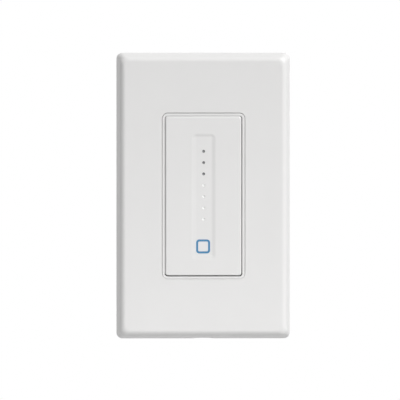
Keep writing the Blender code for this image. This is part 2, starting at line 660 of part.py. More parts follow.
def icon_light_guide(material):
    inlay_back = GROOVE_FLOOR + ICON_INLAY
    guide = square_ring(
        "icon_light_guide", ICON_SIZE, ICON_STROKE, ICON_CORNER, inlay_back, GROOVE_FLOOR, material
    )
    for x, z in icon_legs():
        leg = rod("icon_leg", ICON_LEG_RADIUS, (x, GUIDE_BACK, z), (x, inlay_back - ICON_INLAY / 2, z))
        fuse(guide, leg)
    return guide


def front_board(material):
    height = FRONT_BOARD_TOP - FRONT_BOARD_BOTTOM
    middle = (FRONT_BOARD_TOP + FRONT_BOARD_BOTTOM) / 2
    return slab(
        "front_board", WELL_WIDTH - 2 * BOARD_SLACK, height, PANEL_CORNER,
        straight(FRONT_BOARD_BACK, FRONT_BOARD_FRONT), material, z=middle,
    )


def lamps(material):
    """One small lamp behind each dot and one behind the icon."""
    size = (LED_LENGTH, LED_HEIGHT, LED_WIDTH)
    y = LED_FRONT + LED_HEIGHT / 2
    for number, z in enumerate(dot_heights(), start=1):
        box(f"led_{number}", size, (0, y, z), material)
    box("led_icon", size, (0, y, -ICON_DROP), material)


def light_baffle(material):
    """Opaque strip that keeps each lamp's light in its own guide."""
    top = DOT_TOP + BAFFLE_MARGIN
    bottom = -ICON_DROP - ICON_SIZE / 2 - BAFFLE_MARGIN / 2
    strip = slab(
        "light_baffle", BAFFLE_WIDTH, top - bottom, PANEL_CORNER,
        straight(FRONT_BOARD_FRONT - FIT, BAFFLE_FRONT), material, z=(top + bottom) / 2,
    )
    past = straight(FRONT_BOARD_FRONT + CUT_PAST, BAFFLE_FRONT - CUT_PAST)
    for z in dot_heights():
        drill(strip, "baffle", BAFFLE_HOLE_RADIUS, 0, z, past[0][0], past[1][0])
    window = ICON_SIZE + 2 * SEAT
    return combine(strip, slab("baffle_window", window, window, ICON_CORNER, past, z=-ICON_DROP))


def tact_switch(body_material, plunger_material):
    body = slab(
        "tact_switch_body", TACT_SIZE, TACT_SIZE, 2 * OVERLAP,
        straight(TACT_BACK, TACT_FRONT), body_material, z=-TACT_DROP,
    )
    bore = TACT_RADIUS + FIT
    drill(body, "tact", bore, 0, -TACT_DROP, TACT_BACK - TACT_FLOOR, TACT_FRONT - CUT_PAST)
    back, front = (0, PLUNGER_BACK, -TACT_DROP), (0, PLUNGER_FRONT, -TACT_DROP)
    return rod("tact_plunger", TACT_RADIUS, back, front, plunger_material)


def winged_strap(material):
    """Flat blank of the strap: narrow ears above and below the wide wings, all corners rounded."""
    ear, wing = YOKE_EAR_WIDTH / 2, YOKE_WING_WIDTH / 2
    shoulder, top = YOKE_WING_HEIGHT / 2, YOKE_HEIGHT / 2
    quarter = [(ear, top), (ear, shoulder), (wing, shoulder)]
    right = quarter + [(x, -z) for x, z in reversed(quarter)]
    outline = right + [(-x, -z) for x, z in right]
    bm = bmesh.new()
    bm.faces.new([bm.verts.new((x, YOKE_FRONT, z)) for x, z in outline])
    bmesh.ops.bevel(
        bm, geom=bm.verts[:], offset=YOKE_CORNER, offset_type="OFFSET",
        segments=CORNER_STEPS, profile=0.5, affect="VERTICES",
    )
    face = bm.faces[:][0]
    grown = bmesh.ops.extrude_face_region(bm, geom=[face])
    lifted = [item for item in grown["geom"] if isinstance(item, bmesh.types.BMVert)]
    bmesh.ops.translate(bm, verts=lifted, vec=(0.0, YOKE_THICK, 0.0))
    return place("yoke", bm, material)


def yoke(material):
    """Strap with cooling wings: ears for the wall box, slots and holes for all that it carries."""
    through = straight(CUT_PAST, YOKE_FRONT - CUT_PAST)
    strap = winged_strap(material)
    for end in (-1, 1):
        combine(
            strap,
            slab(
                "mount_slot", MOUNT_SLOT_WIDTH, MOUNT_SLOT_HEIGHT, MOUNT_SLOT_HEIGHT * 0.45,
                through, z=end * MOUNT_SPACING / 2,
            ),
        )
        tapped = SUB_SCREW_RADIUS + HEAD_GAP
        drill(strap, "tapped", tapped, 0, end * SUB_SCREW_SPACING / 2, through[0][0], through[1][0])
        for side in (-1, 1):
            slot = (HOOK_THICK + 2 * SEAT, YOKE_THICK + 2 * CUT_PAST, HOOK_WIDTH + 2 * SEAT)
            middle = (side * HOOK_X, YOKE_FRONT / 2, end * HOOK_Z)
            combine(strap, box("hook_slot", slot, middle))
            combine(strap, countersink(side * BOSS_X, end * BOSS_Z))
    ground = GROUND_SCREW_RADIUS + HEAD_GAP
    drill(strap, "ground", ground, GROUND_X, -GROUND_DROP, through[0][0], through[1][0])
    block = header_size()
    window = (block[0] + 4 * SEAT, YOKE_THICK + 2 * CUT_PAST, block[2] + 4 * SEAT)
    return combine(strap, box("header_window", window, (0, YOKE_FRONT / 2, -HEADER_DROP)))


def countersink(x, z):
    """Cutter for a flat-headed screw that sits flush with the strap's front."""
    wide = HOUSING_HEAD_RADIUS + FIT
    narrow = HOUSING_SCREW_RADIUS + FIT
    end = -YOKE_THICK - CUT_PAST
    profile = [
        (0.0, CUT_PAST), (wide, CUT_PAST), (wide, 0.0),
        (narrow, narrow - wide), (narrow, end), (0.0, end),
    ]
    return turned("countersink", profile, None, (x, YOKE_FRONT, z), (0, -1, 0))


def fasteners(zinc, green):
    """Screws of the strap: to the wall box, to the sub-plate, to the housing, and the ground screw."""
    for word, end in (("top", 1), ("bottom", -1)):
        slotted_screw(
            f"mounting_screw_{word}", MOUNT_HEAD_RADIUS, MOUNT_HEAD_HEIGHT, MOUNT_SCREW_RADIUS,
            MOUNT_SCREW_LENGTH, zinc, (0, YOKE_FRONT - SEAT, end * MOUNT_SPACING / 2), (0, -1, 0),
        )
        slotted_screw(
            f"sub_plate_screw_{word}", SUB_HEAD_RADIUS, SUB_HEAD_HEIGHT, SUB_SCREW_RADIUS,
            SUB_SCREW_LENGTH, zinc, (0, SUB_PLATE_FRONT - SEAT, end * SUB_SCREW_SPACING / 2), (0, -1, 0),
        )
    slotted_screw(
        "ground_screw", GROUND_HEAD_RADIUS, GROUND_HEAD_HEIGHT, GROUND_SCREW_RADIUS,
        YOKE_THICK + SEAT, green, (GROUND_X, SEAT, -GROUND_DROP), (0, 1, 0),
    )
    taper = HOUSING_HEAD_RADIUS - HOUSING_SCREW_RADIUS
    profile = [
        (0.0, 0.0),
        (HOUSING_HEAD_RADIUS, 0.0),
        (HOUSING_SCREW_RADIUS, -taper),
        (HOUSING_SCREW_RADIUS, -HOUSING_SCREW_LENGTH),
        (0.0, -HOUSING_SCREW_LENGTH),
    ]
    number = 0
    for side in (-1, 1):
        for end in (-1, 1):
            number += 1
            head = (side * BOSS_X, YOKE_FRONT, end * BOSS_Z)
            screw = turned(f"housing_screw_{number}", profile, zinc, head, (0, -1, 0))
            slot = (SLOT_WIDTH, taper * SLOT_SHARE + CUT_PAST, 2 * (HOUSING_HEAD_RADIUS + CUT_PAST))
            middle = (head[0], YOKE_FRONT + (taper * SLOT_SHARE - CUT_PAST) / 2, head[2])
            combine(screw, box("housing_screw_slot", slot, middle))


def header_size():
    wide = HEADER_COLUMNS * LEG_PITCH
    tall = HEADER_ROWS * LEG_PITCH
    return wide, HEADER_BLOCK, tall


def board_header(material):
    """Pin block that joins the front board to the main board through the strap's window."""
    wide, deep, tall = header_size()
    back = MAIN_BOARD_FRONT - FIT
    front = FRONT_BOARD_BACK + FIT
    header = box("board_header", (wide, deep, tall), (0, back - deep / 2, -HEADER_DROP), material)
    for column in range(HEADER_COLUMNS):
        for row in range(HEADER_ROWS):
            x = (column - (HEADER_COLUMNS - 1) / 2) * LEG_PITCH
            z = (row - (HEADER_ROWS - 1) / 2) * LEG_PITCH - HEADER_DROP
            length = back - deep / 2 - front
            pin = box("header_pin", (HEADER_PIN, length, HEADER_PIN), (x, front + length / 2, z))
            fuse(header, pin)
    return header


def bay_places():
    return [(side, end) for side in (-1, 1) for end in (-1, 1)]


def rear_housing(material):
    """Deep moulded cup: leaning sides, chamfered back, stepped chamber, terminal bays, screw bosses."""
    levels = [
        (HOUSING_FRONT, 0.0),
        (HOUSING_BACK - HOUSING_CHAMFER, HOUSING_LEAN),
        (HOUSING_BACK, HOUSING_LEAN + HOUSING_CHAMFER),
    ]
    cup = slab("rear_housing", HOUSING_WIDTH, HOUSING_HEIGHT, HOUSING_CORNER, levels, material)
    corner = HOUSING_CORNER - HOUSING_WALL / 2
    mouth = HOUSING_FRONT - CUT_PAST
    ledge = MAIN_BOARD_BACK + SEAT
    wide = HOUSING_WIDTH - 2 * HOUSING_WALL
    front_back = HOUSING_FRONT + FRONT_CHAMBER_DEPTH
    chambers = (
        ("chamber_board", CHAMBER_WIDTH, CHAMBER_HEIGHT, ledge),
        ("chamber_deep", CHAMBER_WIDTH, DEEP_CHAMBER_HEIGHT, CHAMBER_BACK),
        ("chamber_front", wide, FRONT_CHAMBER_HEIGHT, front_back),
    )
    for name, width, height, back in chambers:
        combine(cup, slab(name, width, height, corner, straight(back, mouth)))
    recess = straight(HOUSING_BACK + CUT_PAST, HOUSING_BACK - BACK_RECESS_DEPTH)
    combine(cup, slab("back_recess", BACK_RECESS_WIDTH, BACK_RECESS_HEIGHT, HOUSING_WALL, recess))
    for side in (-1, 1):
        for end in (-1, 1):
            shank = HOUSING_SCREW_RADIUS + FIT
            bottom = YOKE_FRONT + HOUSING_SCREW_LENGTH + SEAT
            drill(cup, "boss", shank, side * BOSS_X, end * BOSS_Z, mouth, bottom)
    for side, end in bay_places():
        z = end * BAY_SPACING / 2
        depth = BAY_DEPTH + CUT_PAST
        x = side * (BAY_FLOOR_X + depth / 2)
        combine(cup, box("bay", (depth, BAY_LENGTH, BAY_HEIGHT), (x, BAY_MIDDLE_Y, z)))
        run = HOUSING_BACK + CUT_PAST - BAY_MIDDLE_Y
        middle = BAY_MIDDLE_Y + run / 2
        combine(cup, box("wire_channel", (depth, run, WIRE_CHANNEL), (x, middle, z)))
        combine(cup, tail_slot(side, z))
        start = side * (BAY_FLOOR_X + CUT_PAST)
        finish_x = side * (terminal_head_x() - TERMINAL_SCREW_LENGTH - SEAT)
        shank = TERMINAL_SCREW_RADIUS + HEAD_GAP
        combine(cup, rod("terminal_hole", shank, (start, BAY_MIDDLE_Y, z), (finish_x, BAY_MIDDLE_Y, z)))
    return cup


def clamp_middle_y():
    return BAY_START + SEAT + CLAMP_SIZE / 2


def clamp_back_x():
    return BAY_FLOOR_X + SEAT


def terminal_head_x():
    return clamp_back_x() + CLAMP_THICK + SEAT


def tail_slot(side, z):
    """Slot in the bay's floor that lets the clamp's tail in to the main board."""
    deep = BAY_FLOOR_X - CHAMBER_WIDTH / 2 + 2 * CUT_PAST
    x = side * (BAY_FLOOR_X + CHAMBER_WIDTH / 2) / 2
    y = BAY_START + SEAT + CLAMP_TAIL_THICK / 2
    size = (deep, CLAMP_TAIL_THICK + 2 * SEAT, CLAMP_TAIL_WIDTH + 2 * SEAT)
    return box("tail_slot", size, (x, y, z))


def terminals(brass, zinc):
    """Clamp plates with tails, and their screws, in the bays on both sides."""
    for number, (side, end) in enumerate(bay_places(), start=1):
        z = end * BAY_SPACING / 2
        x = side * (clamp_back_x() + CLAMP_THICK / 2)
        size = (CLAMP_THICK, CLAMP_SIZE, CLAMP_SIZE)
        clamp = box(f"terminal_clamp_{number}", size, (x, clamp_middle_y(), z), brass)
        inner_end = CHAMBER_WIDTH / 2 - CLAMP_TAIL_REACH
        outer_end = clamp_back_x() + CLAMP_THICK / 2
        tail_x = side * (inner_end + outer_end) / 2
        tail_y = BAY_START + SEAT + CLAMP_TAIL_THICK / 2
        tail_size = (outer_end - inner_end, CLAMP_TAIL_THICK, CLAMP_TAIL_WIDTH)
        fuse(clamp, box("clamp_tail", tail_size, (tail_x, tail_y, z)))
        hole = TERMINAL_SCREW_RADIUS + HEAD_GAP
        ends = [(side * (BAY_FLOOR_X + past), BAY_MIDDLE_Y, z) for past in (-CUT_PAST, BAY_DEPTH)]
        combine(clamp, rod("clamp_hole", hole, *ends))
        slotted_screw(
            f"terminal_screw_{number}", TERMINAL_HEAD_RADIUS, TERMINAL_HEAD_HEIGHT,
            TERMINAL_SCREW_RADIUS, TERMINAL_SCREW_LENGTH, zinc,
            (side * terminal_head_x(), BAY_MIDDLE_Y, z), (side, 0, 0),
        )


def main_board(material):
    return slab(
        "main_board", MAIN_BOARD_WIDTH, MAIN_BOARD_HEIGHT, PANEL_CORNER,
        straight(MAIN_BOARD_BACK, MAIN_BOARD_FRONT), material,
    )


def power_parts(pad_material, black):
    """Insulating pad behind the strap and two flat power transistors on it."""
    slab(
        "insulating_pad", PAD_WIDTH, PAD_HEIGHT, PANEL_CORNER,
        straight(SEAT + PAD_THICK, SEAT), pad_material, z=PAD_RISE,
    )
    face = TRANSISTOR_FACE
    full = TRANSISTOR_BODY_HEIGHT + TRANSISTOR_TAB_HEIGHT
    for word, side in (("left", -1), ("right", 1)):
        x = side * TRANSISTOR_SPACING / 2
        bottom = PAD_RISE - full / 2
        body_middle = (x, face + TRANSISTOR_THICK / 2, bottom + TRANSISTOR_BODY_HEIGHT / 2)
        size = (TRANSISTOR_WIDTH, TRANSISTOR_THICK, TRANSISTOR_BODY_HEIGHT)
        part = box(f"power_transistor_{word}", size, body_middle, black)
        tab_z = bottom + TRANSISTOR_BODY_HEIGHT - OVERLAP + TRANSISTOR_TAB_HEIGHT / 2
        tab = (TRANSISTOR_WIDTH, TRANSISTOR_TAB_THICK, TRANSISTOR_TAB_HEIGHT)
        fuse(part, box("transistor_tab", tab, (x, face + TRANSISTOR_TAB_THICK / 2, tab_z)))
        tab_past = face + TRANSISTOR_TAB_THICK + CUT_PAST
        drill(part, "tab", TRANSISTOR_TAB_HOLE, x, tab_z + OVERLAP, face - CUT_PAST, tab_past)
        leg_y = face + TRANSISTOR_THICK / 2
        for leg in range(LEG_COUNT):
            leg_x = x + (leg - (LEG_COUNT - 1) / 2) * LEG_PITCH
            down = (LEG_WIDTH, LEG_THICK, LEG_LENGTH + OVERLAP)
            leg_z = bottom - (LEG_LENGTH - OVERLAP) / 2
            fuse(part, box("leg_down", down, (leg_x, leg_y, leg_z)))
            foot = MAIN_BOARD_FRONT - FIT - leg_y + LEG_THICK / 2
            foot_z = bottom - LEG_LENGTH + LEG_THICK / 2
            foot_y = leg_y - LEG_THICK / 2 + foot / 2
            fuse(part, box("leg_foot", (LEG_WIDTH, foot, LEG_THICK), (leg_x, foot_y, foot_z)))


def filter_capacitor(material, x, z):
    """Round can with a rolled neck near its foot."""
    radius, height = CAPACITOR_RADIUS, CAPACITOR_HEIGHT
    edge = radius * 0.12
    neck = radius * 0.92
    profile = [
        (0.0, height), (radius - edge, height), (radius, height - edge),
        (radius, 4 * edge), (neck, 3 * edge), (radius, 2 * edge),
        (radius, edge), (radius - edge, 0.0), (0.0, 0.0),
    ]
    return turned("filter_capacitor", profile, material, (x, MAIN_BOARD_BACK + FIT, z), (0, 1, 0))


def choke(material, x, z):
    """Wound ring that lies flat on the main board."""
    bm = bmesh.new()
    major, minor = 2 * TURN_STEPS, TURN_STEPS // 2
    rings = []
    for step in range(major):
        turn = 2 * math.pi * step / major
        swell = CHOKE_WINDING_RADIUS * (1.0 if step % 2 else 0.86)
        ring = []
        for point in range(minor):
            around = 2 * math.pi * point / minor
            out = CHOKE_RADIUS + swell * math.cos(around)
            ring.append(bm.verts.new((out * math.cos(turn), swell * math.sin(around), out * math.sin(turn))))
        rings.append(ring)
    for first, second in zip(rings, rings[1:] + rings[:1]):
        for point in range(minor):
            after = (point + 1) % minor
            bm.faces.new((first[point], first[after], second[after], second[point]))
    middle = (x, MAIN_BOARD_BACK + FIT + CHOKE_WINDING_RADIUS, z)
    return place("choke", bm, material, middle)


def power_transformer(material, x, z):
    """Core block with a narrower bobbin through its window."""
    y = MAIN_BOARD_BACK + FIT
    core_depth = TRANSFORMER_DEPTH - BOBBIN_INSET
    size = (TRANSFORMER_WIDTH, core_depth, TRANSFORMER_HEIGHT - 2 * BOBBIN_INSET)
    core = box("power_transformer", size, (x, y + TRANSFORMER_DEPTH - core_depth / 2, z), material)
    bobbin = (TRANSFORMER_WIDTH - 2 * BOBBIN_INSET, TRANSFORMER_DEPTH - BOBBIN_INSET, TRANSFORMER_HEIGHT)
    return fuse(core, box("bobbin", bobbin, (x, y + bobbin[1] / 2, z)))


def radio_module(material, x, z):
    """Small board with a shielding can."""
    y = MAIN_BOARD_BACK + FIT
    size = (RADIO_WIDTH, RADIO_BOARD_THICK, RADIO_HEIGHT)
    module = box("radio_module", size, (x, y + RADIO_BOARD_THICK / 2, z), material)
    side = RADIO_WIDTH - 2 * RADIO_CAN_INSET
    can_z = z - RADIO_HEIGHT / 2 + RADIO_CAN_INSET + side / 2
    can_back = y + RADIO_BOARD_THICK + RADIO_CAN_HEIGHT
    can = straight(y + RADIO_BOARD_THICK - OVERLAP, can_back)
    return fuse(module, slab("radio_can", side, side, PANEL_CORNER, can, x=x, z=can_z))


def fuse_link(material, x, z):
    """Glass tube with a metal cap on each end."""
    half = FUSE_LENGTH / 2
    cap = FUSE_RADIUS + FUSE_CAP_LIP
    profile = [
        (0.0, half), (cap, half), (cap, half - FUSE_CAP_LENGTH),
        (FUSE_RADIUS, half - FUSE_CAP_LENGTH), (FUSE_RADIUS, FUSE_CAP_LENGTH - half),
        (cap, FUSE_CAP_LENGTH - half), (cap, -half), (0.0, -half),
    ]
    return turned("fuse", profile, material, (x, MAIN_BOARD_BACK + FIT + cap, z), (1, 0, 0))


def board_parts(can, copper, black, board_green, glass):
    """Parts in two columns behind the main board: down from its top, and the radio up from its foot."""
    left = PART_MARGIN - CHAMBER_WIDTH / 2
    right = -left
    top = DEEP_CHAMBER_HEIGHT / 2 - PART_MARGIN
    filter_capacitor(can, left + CAPACITOR_RADIUS, top - CAPACITOR_RADIUS)
    choke_reach = CHOKE_RADIUS + CHOKE_WINDING_RADIUS
    choke(copper, right - choke_reach, top - choke_reach)
    fuse_reach = FUSE_RADIUS + FUSE_CAP_LIP
    fuse_z = top - 2 * CAPACITOR_RADIUS - PART_MARGIN - fuse_reach
    fuse_link(glass, left + CLAMP_TAIL_REACH + FUSE_LENGTH / 2, fuse_z)
    core_z = fuse_z - fuse_reach - PART_MARGIN - TRANSFORMER_HEIGHT / 2
    power_transformer(black, left + TRANSFORMER_WIDTH / 2, core_z)
    radio_module(board_green, right - RADIO_WIDTH / 2, RADIO_HEIGHT / 2 - top)


def main():
    white = finish("white_plastic", (0.86, 0.86, 0.85), 0.35)
    grey = finish("grey_plastic", (0.45, 0.46, 0.47), 0.5)
    black = finish("black_plastic", (0.03, 0.03, 0.03), 0.5)
    strap_metal = finish("strap_metal", (0.78, 0.79, 0.80), 0.35, 1.0)
    zinc = finish("zinc_screw", (0.72, 0.71, 0.68), 0.3, 1.0)
    green = finish("green_screw", (0.10, 0.42, 0.18), 0.4, 0.3)
    brass = finish("brass", (0.78, 0.60, 0.28), 0.35, 1.0)
    board_green = finish("board_green", (0.05, 0.25, 0.12), 0.5)
    copper = finish("copper_wire", (0.65, 0.30, 0.14), 0.4, 1.0)
    glass = finish("fuse_glass", (0.85, 0.88, 0.88), 0.1)
    lamp = finish("lamp", (0.95, 0.92, 0.75), 0.4)
    lit = finish("dot_lit", (1.0, 1.0, 1.0), 0.4, glow=0.6)
    unlit = finish("dot_unlit", (0.25, 0.26, 0.27), 0.4)
    blue = finish("icon_blue", (0.10, 0.36, 0.72), 0.4, glow=0.6)

    wall_plate(white)
    sub_plate(white)
    bezel(white)
    panel = [touch_panel(white), icon_light_guide(blue), *light_pipes(lit, unlit)]
    carry(pivot_at("panel_pivot", (0.0, RAIL_Y, RAIL_Z)), panel)
    front_board(board_green)
    lamps(lamp)
    light_baffle(black)
    tact_switch(grey, black)
    yoke(strap_metal)
    fasteners(zinc, green)
    rear_housing(grey)
    terminals(brass, zinc)
    main_board(board_green)
    power_parts(white, black)
    board_header(black)
    board_parts(grey, copper, black, board_green, glass)


clear_scene()
PARTS = new_collection("smart_dimmer_switch")
CUTTERS = new_collection("cutters")
main()
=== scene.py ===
import math
from contextlib import contextmanager

import bmesh
import bpy
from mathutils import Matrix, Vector


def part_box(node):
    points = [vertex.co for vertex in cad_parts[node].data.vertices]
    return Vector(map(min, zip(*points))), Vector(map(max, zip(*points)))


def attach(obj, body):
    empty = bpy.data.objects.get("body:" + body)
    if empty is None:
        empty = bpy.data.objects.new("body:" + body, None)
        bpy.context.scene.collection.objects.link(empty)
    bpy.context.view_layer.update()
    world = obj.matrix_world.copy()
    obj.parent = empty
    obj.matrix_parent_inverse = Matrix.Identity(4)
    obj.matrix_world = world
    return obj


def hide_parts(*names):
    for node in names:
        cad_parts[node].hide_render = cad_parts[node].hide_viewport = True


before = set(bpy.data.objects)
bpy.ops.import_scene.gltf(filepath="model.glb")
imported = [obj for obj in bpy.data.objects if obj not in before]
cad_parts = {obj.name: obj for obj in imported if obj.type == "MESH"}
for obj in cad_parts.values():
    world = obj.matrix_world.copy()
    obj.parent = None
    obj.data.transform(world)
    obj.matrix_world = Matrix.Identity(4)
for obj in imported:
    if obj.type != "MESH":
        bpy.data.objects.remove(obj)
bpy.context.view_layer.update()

MM = 0.001

# Smoothness
CORNER_STEPS = 16
ROLL_STEPS = 10
ROUND_STEPS = 64
SMALL_ROUND = 32
TINY_ROUND = 24
HIDDEN_STEPS = 6
SMOOTH_ANGLE = math.radians(32)
SHARP_ANGLE = math.radians(40)
FLAT_ANGLE = math.radians(1)
FACING = 0.9  # least cosine of a face's normal
MERGE = 0.002 * MM
PAST = 1.0 * MM  # how far a cutter runs past the face that it cuts
OVERLAP = 0.3 * MM  # how far joined shapes reach into each other
SEAT_GAP = 0.3 * MM  # play between a piece and what takes it in
QUARTERS = ((-1, -1), (-1, 1), (1, -1), (1, 1))  # four like shapes, one at each corner

# Cover plate
PLATE_CORNER = 2.4 * MM
PLATE_LEAN = 1.2 * MM
PLATE_ROLL = 2.5 * MM
PLATE_WALL = 1.8 * MM
OPENING_CORNER = 2.4 * MM
OPENING_FILLET = 0.12 * MM
OPENING = (33.4 * MM, 66.8 * MM)
PRY_NOTCH = (8.0 * MM, 0.9 * MM)  # width and depth
COLLAR_WALL = 1.3 * MM
SNAP_HOOK = (3.0 * MM, 1.0 * MM, 9.0 * MM)
SNAP_SPREAD = 60.0 * MM

# Device frame
FRAME_CORNER = 2.15 * MM
FRAME_RING = 1.0 * MM
FRAME_ROLL = 0.15 * MM
FRAME_GAP = 0.14 * MM
FRAME_PLAY = (-0.02 * MM, -0.09 * MM)  # how far it sits off the opening's middle
FRAME_LEDGE = 3.3 * MM
FRAME_FLOOR = 1.0 * MM
FRAME_BACK = -1.8 * MM
RAIL_Y = -3.9 * MM
RAIL_Z = 29.45 * MM
RAIL_RADIUS = 0.8 * MM
CLIP_RUNNING = 0.1 * MM
CLIP_WALL = 0.8 * MM
CLIP_SIZE = (4.0 * MM, 18.0 * MM)  # width and spacing
HOOK_SPREAD = 40.0 * MM
HOOK = (1.4 * MM, 3.4 * MM, 5.0 * MM)
HOOK_Y = -0.5 * MM
BARB = (2.0 * MM, 0.6 * MM, 5.0 * MM)
BARB_Y = 0.9 * MM
BARB_SHIFT = 0.3 * MM
WELL = (OPENING[0] - 2 * FRAME_GAP - 2 * FRAME_RING, OPENING[1] - 2 * FRAME_GAP - 2 * FRAME_RING)

# Press panel
PANEL_CORNER = 1.0 * MM
PANEL_ROLL = 0.6 * MM
PANEL_SLIDE = 0.5  # downward shift of its rolled edge, as a share of each inset
PANEL_GAP = 0.25 * MM
PANEL_PLAY = (-0.1 * MM, 0.06 * MM)  # how far it sits off the well's middle
PANEL_BACK = RAIL_Y - RAIL_RADIUS - 0.3 * MM
PANEL_WALL = 1.2 * MM
PANEL_SKIRT = 1.2 * MM
PIP_RADIUS = 1.2 * MM
GROOVE = (10.3 * MM, 51.4 * MM)
GROOVE_CORNER = 2.3 * MM
GROOVE_SLOPE = 2.2 * MM
GROOVE_LIFT = 0.6 * MM
GROOVE_DROP = 0.5 * MM
GROOVE_DEPTH = 0.23 * MM
SLOPE_PAINTED_SHADE = 0.035  # painted shade on the groove's slopes, as a share of their colour
DOT_SEAT = 0.6 * MM
DOT_RECESS = 0.16 * MM
DOT_DISH = 0.26 * MM
DOT_PLAY = 0.03 * MM
DISH_RING = 0.3  # width of a ring of the dish, as a share of the dot's radius
DISH_RINGS = (0.44, 0.31, 0.19)  # depth of each ring, as a share of the dish
HALO_REACH = 1.6 * MM
HALO_DEPTH = 1.2 * MM
ICON_SIZE = 5.57 * MM
ICON_STROKE = 0.77 * MM
ICON_SHIFT = -0.2 * MM
ICON_CORNER = 1.25 * MM
ICON_CORE_CORNER = 0.5 * MM
ICON_DEPTH = 0.45 * MM
ICON_SEAT = 0.5 * MM
ICON_PLAY = 0.1 * MM
ICON_EDGE = 0.08 * MM
LEG_RADIUS = 0.35 * MM

# Strap
STRAP_CORNER = 2.0 * MM
WING_HEIGHT = 80.0 * MM
EAR_WIDTH = 26.0 * MM
MOUNT_SLOT = (7.0 * MM, 4.4 * MM)
MOUNT_CORNER = MOUNT_SLOT[1] * 0.45
TAPPED = 1.75 * MM
GROUND_HOLE = 1.95 * MM
HOOK_SLOT = (2.0 * MM, 4.0 * MM, 5.6 * MM)
HEADER_ROOM = 4 * SEAT_GAP
SINK = (1.0 * MM, 1.9 * MM, 0.9 * MM)  # radius of hole and head, depth of the cone
STRAP_EDGE = 0.16 * MM

# Tray that the cover snaps on
TRAY_CORNER = 3.0 * MM
TRAY_RIM = 1.2 * MM
TRAY_FLOOR = 1.2 * MM
TRAY_EDGE = 0.12 * MM
TRAY_WINDOW = (34.1 * MM, 67.5 * MM)
HEAD_HOLE = 3.75 * MM
SCREW_HOLE = 1.75 * MM
POCKET_WIDTH = 6.6 * MM
POCKET_DEPTH = 0.5 * MM
POCKET_CORNER = 0.8 * MM
RIB = 1.3 * MM
# Middle and height of each pocket, in millimetres
POCKETS = ((-44.5, 12.5), (-24.6, 24.6), (0.0, 22.0), (24.6, 24.6), (44.5, 12.5))

# Rear housing
HOUSING_CORNER = 2.5 * MM
HOUSING_LEAN = 0.5 * MM
HOUSING_ROLL = 1.5 * MM
HOUSING_WALL = 1.8 * MM
HOUSING_EDGE = 0.14 * MM
FRONT_ROOM = 9.0 * MM
BOSS_LENGTH = 8.0 * MM
BOSS_HOLE = 1.0 * MM
BOARD_PLAY = 1.0 * MM
BOARD_STEP = 2.7 * MM
BAY = (14.0 * MM, 12.4 * MM)
BAY_EDGE = 0.5 * MM
CHANNEL = 3.4 * MM
BACK_RECESS = (30.5 * MM, 59.4 * MM, 0.4 * MM)

# Terminal clamps and screws
CLAMP_THICK = 1.2 * MM
TAIL = (3.0 * MM, 0.8 * MM)
TERMINAL_HOLE = 1.85 * MM
CLAMP_EDGE = 0.08 * MM
GRIP_LINES = 9
GRIP = (0.22 * MM, 0.06 * MM, 1.1 * MM)  # radius, rise over the face and spacing of its lines

# Screws: radius and height of the head, radius and length of the shank, pitch
MOUNTING_SCREW = ((3.5 * MM, 1.8 * MM), (1.75 * MM, 22.0 * MM), 0.8 * MM)
TRAY_SCREW = ((2.9 * MM, 1.1 * MM), (1.5 * MM, 6.0 * MM), 0.7 * MM)
GROUND_SCREW = ((2.7 * MM, 2.4 * MM), (1.7 * MM, 1.8 * MM), 0.7 * MM)
TERMINAL_SCREW = ((3.7 * MM, 2.0 * MM), (1.6 * MM, 2.6 * MM), 0.7 * MM)
HEAD_SIDE = 0.35  # upright part of the head, as a share of its height
DOME_ANGLES = range(10, 90, 10)
DRIVER_WIDTH = 0.8 * MM
DRIVER_DEPTH = 0.5  # share of the head's height
CROSS = (0.24, 1.05)  # width and length, as shares of the head's radius
CROSS_DEPTH = 0.7
CROSS_TAPER = 0.5
SCREW_EDGE = 0.07 * MM
THREAD_DEPTH = 0.44  # share of the pitch
THREAD_RUNOUT = 2.2  # pitches without thread
THREAD_STEPS = 24
TIP = (0.6, 0.45)  # length and width, as shares of the core

# Parts on the boards
CHOKE_CORE = 1.25 * MM
WIRE = 0.3 * MM
WIRE_TURNS = 28
WIRE_SINK = 0.8  # radius of a turn past the core, as a share of the wire's
LEG_LENGTH = 3.0 * MM
TAB_LENGTH = 6.0 * MM
PIN_LENGTH = 2.5 * MM
CAP_LENGTH = 2.2 * MM
CORE_END = 2.4 * MM
RADIO_BOARD = 0.8 * MM
CAN_END = (0.2 * MM, 0.8)  # depth, and radius as a share of the can's

# Colours in linear light
WHITE = (0.80, 0.795, 0.79)
TRAY_WHITE = (0.76, 0.755, 0.74)
ICON_BLUE, ICON_GLOW = (0.055, 0.175, 0.31), (0.02, 0.075, 0.135)
DOT_WHITE, DOT_GLOW = (0.8, 0.8, 0.8), (0.16, 0.16, 0.16)
DOT_GREY = (0.235, 0.24, 0.245)
HALO_BLUE = (0.0, 0.03, 0.08)
ALUMINIUM = (0.60, 0.61, 0.62)
ZINC = (0.68, 0.67, 0.63)
BRASS = (0.72, 0.50, 0.20)
GREEN_LACQUER = (0.03, 0.22, 0.07)
HOUSING_GREY = (0.16, 0.165, 0.17)
LAMP_RESIN = (0.8, 0.74, 0.45)
PAD_GREY = (0.35, 0.37, 0.40)
DARK = (0.0, 0.0, 0.0)

# Colour, roughness and metallic share of what the parts on the boards are made of
BLACK = ((0.02, 0.02, 0.021), 0.5, 0.0)
TIN = ((0.62, 0.62, 0.60), 0.3, 1.0)
GOLD = ((0.75, 0.52, 0.2), 0.3, 1.0)
GLASS = ((0.55, 0.57, 0.56), 0.08, 0.0)
CORE = ((0.06, 0.055, 0.05), 0.45, 0.2)
TAPE = ((0.62, 0.42, 0.05), 0.5, 0.0)
MASK = ((0.02, 0.13, 0.05), 0.32, 0.0)
SLEEVE = ((0.03, 0.04, 0.08), 0.35, 0.0)
FERRITE = ((0.05, 0.05, 0.045), 0.6, 0.0)
COPPER = ((0.62, 0.22, 0.07), 0.25, 1.0)

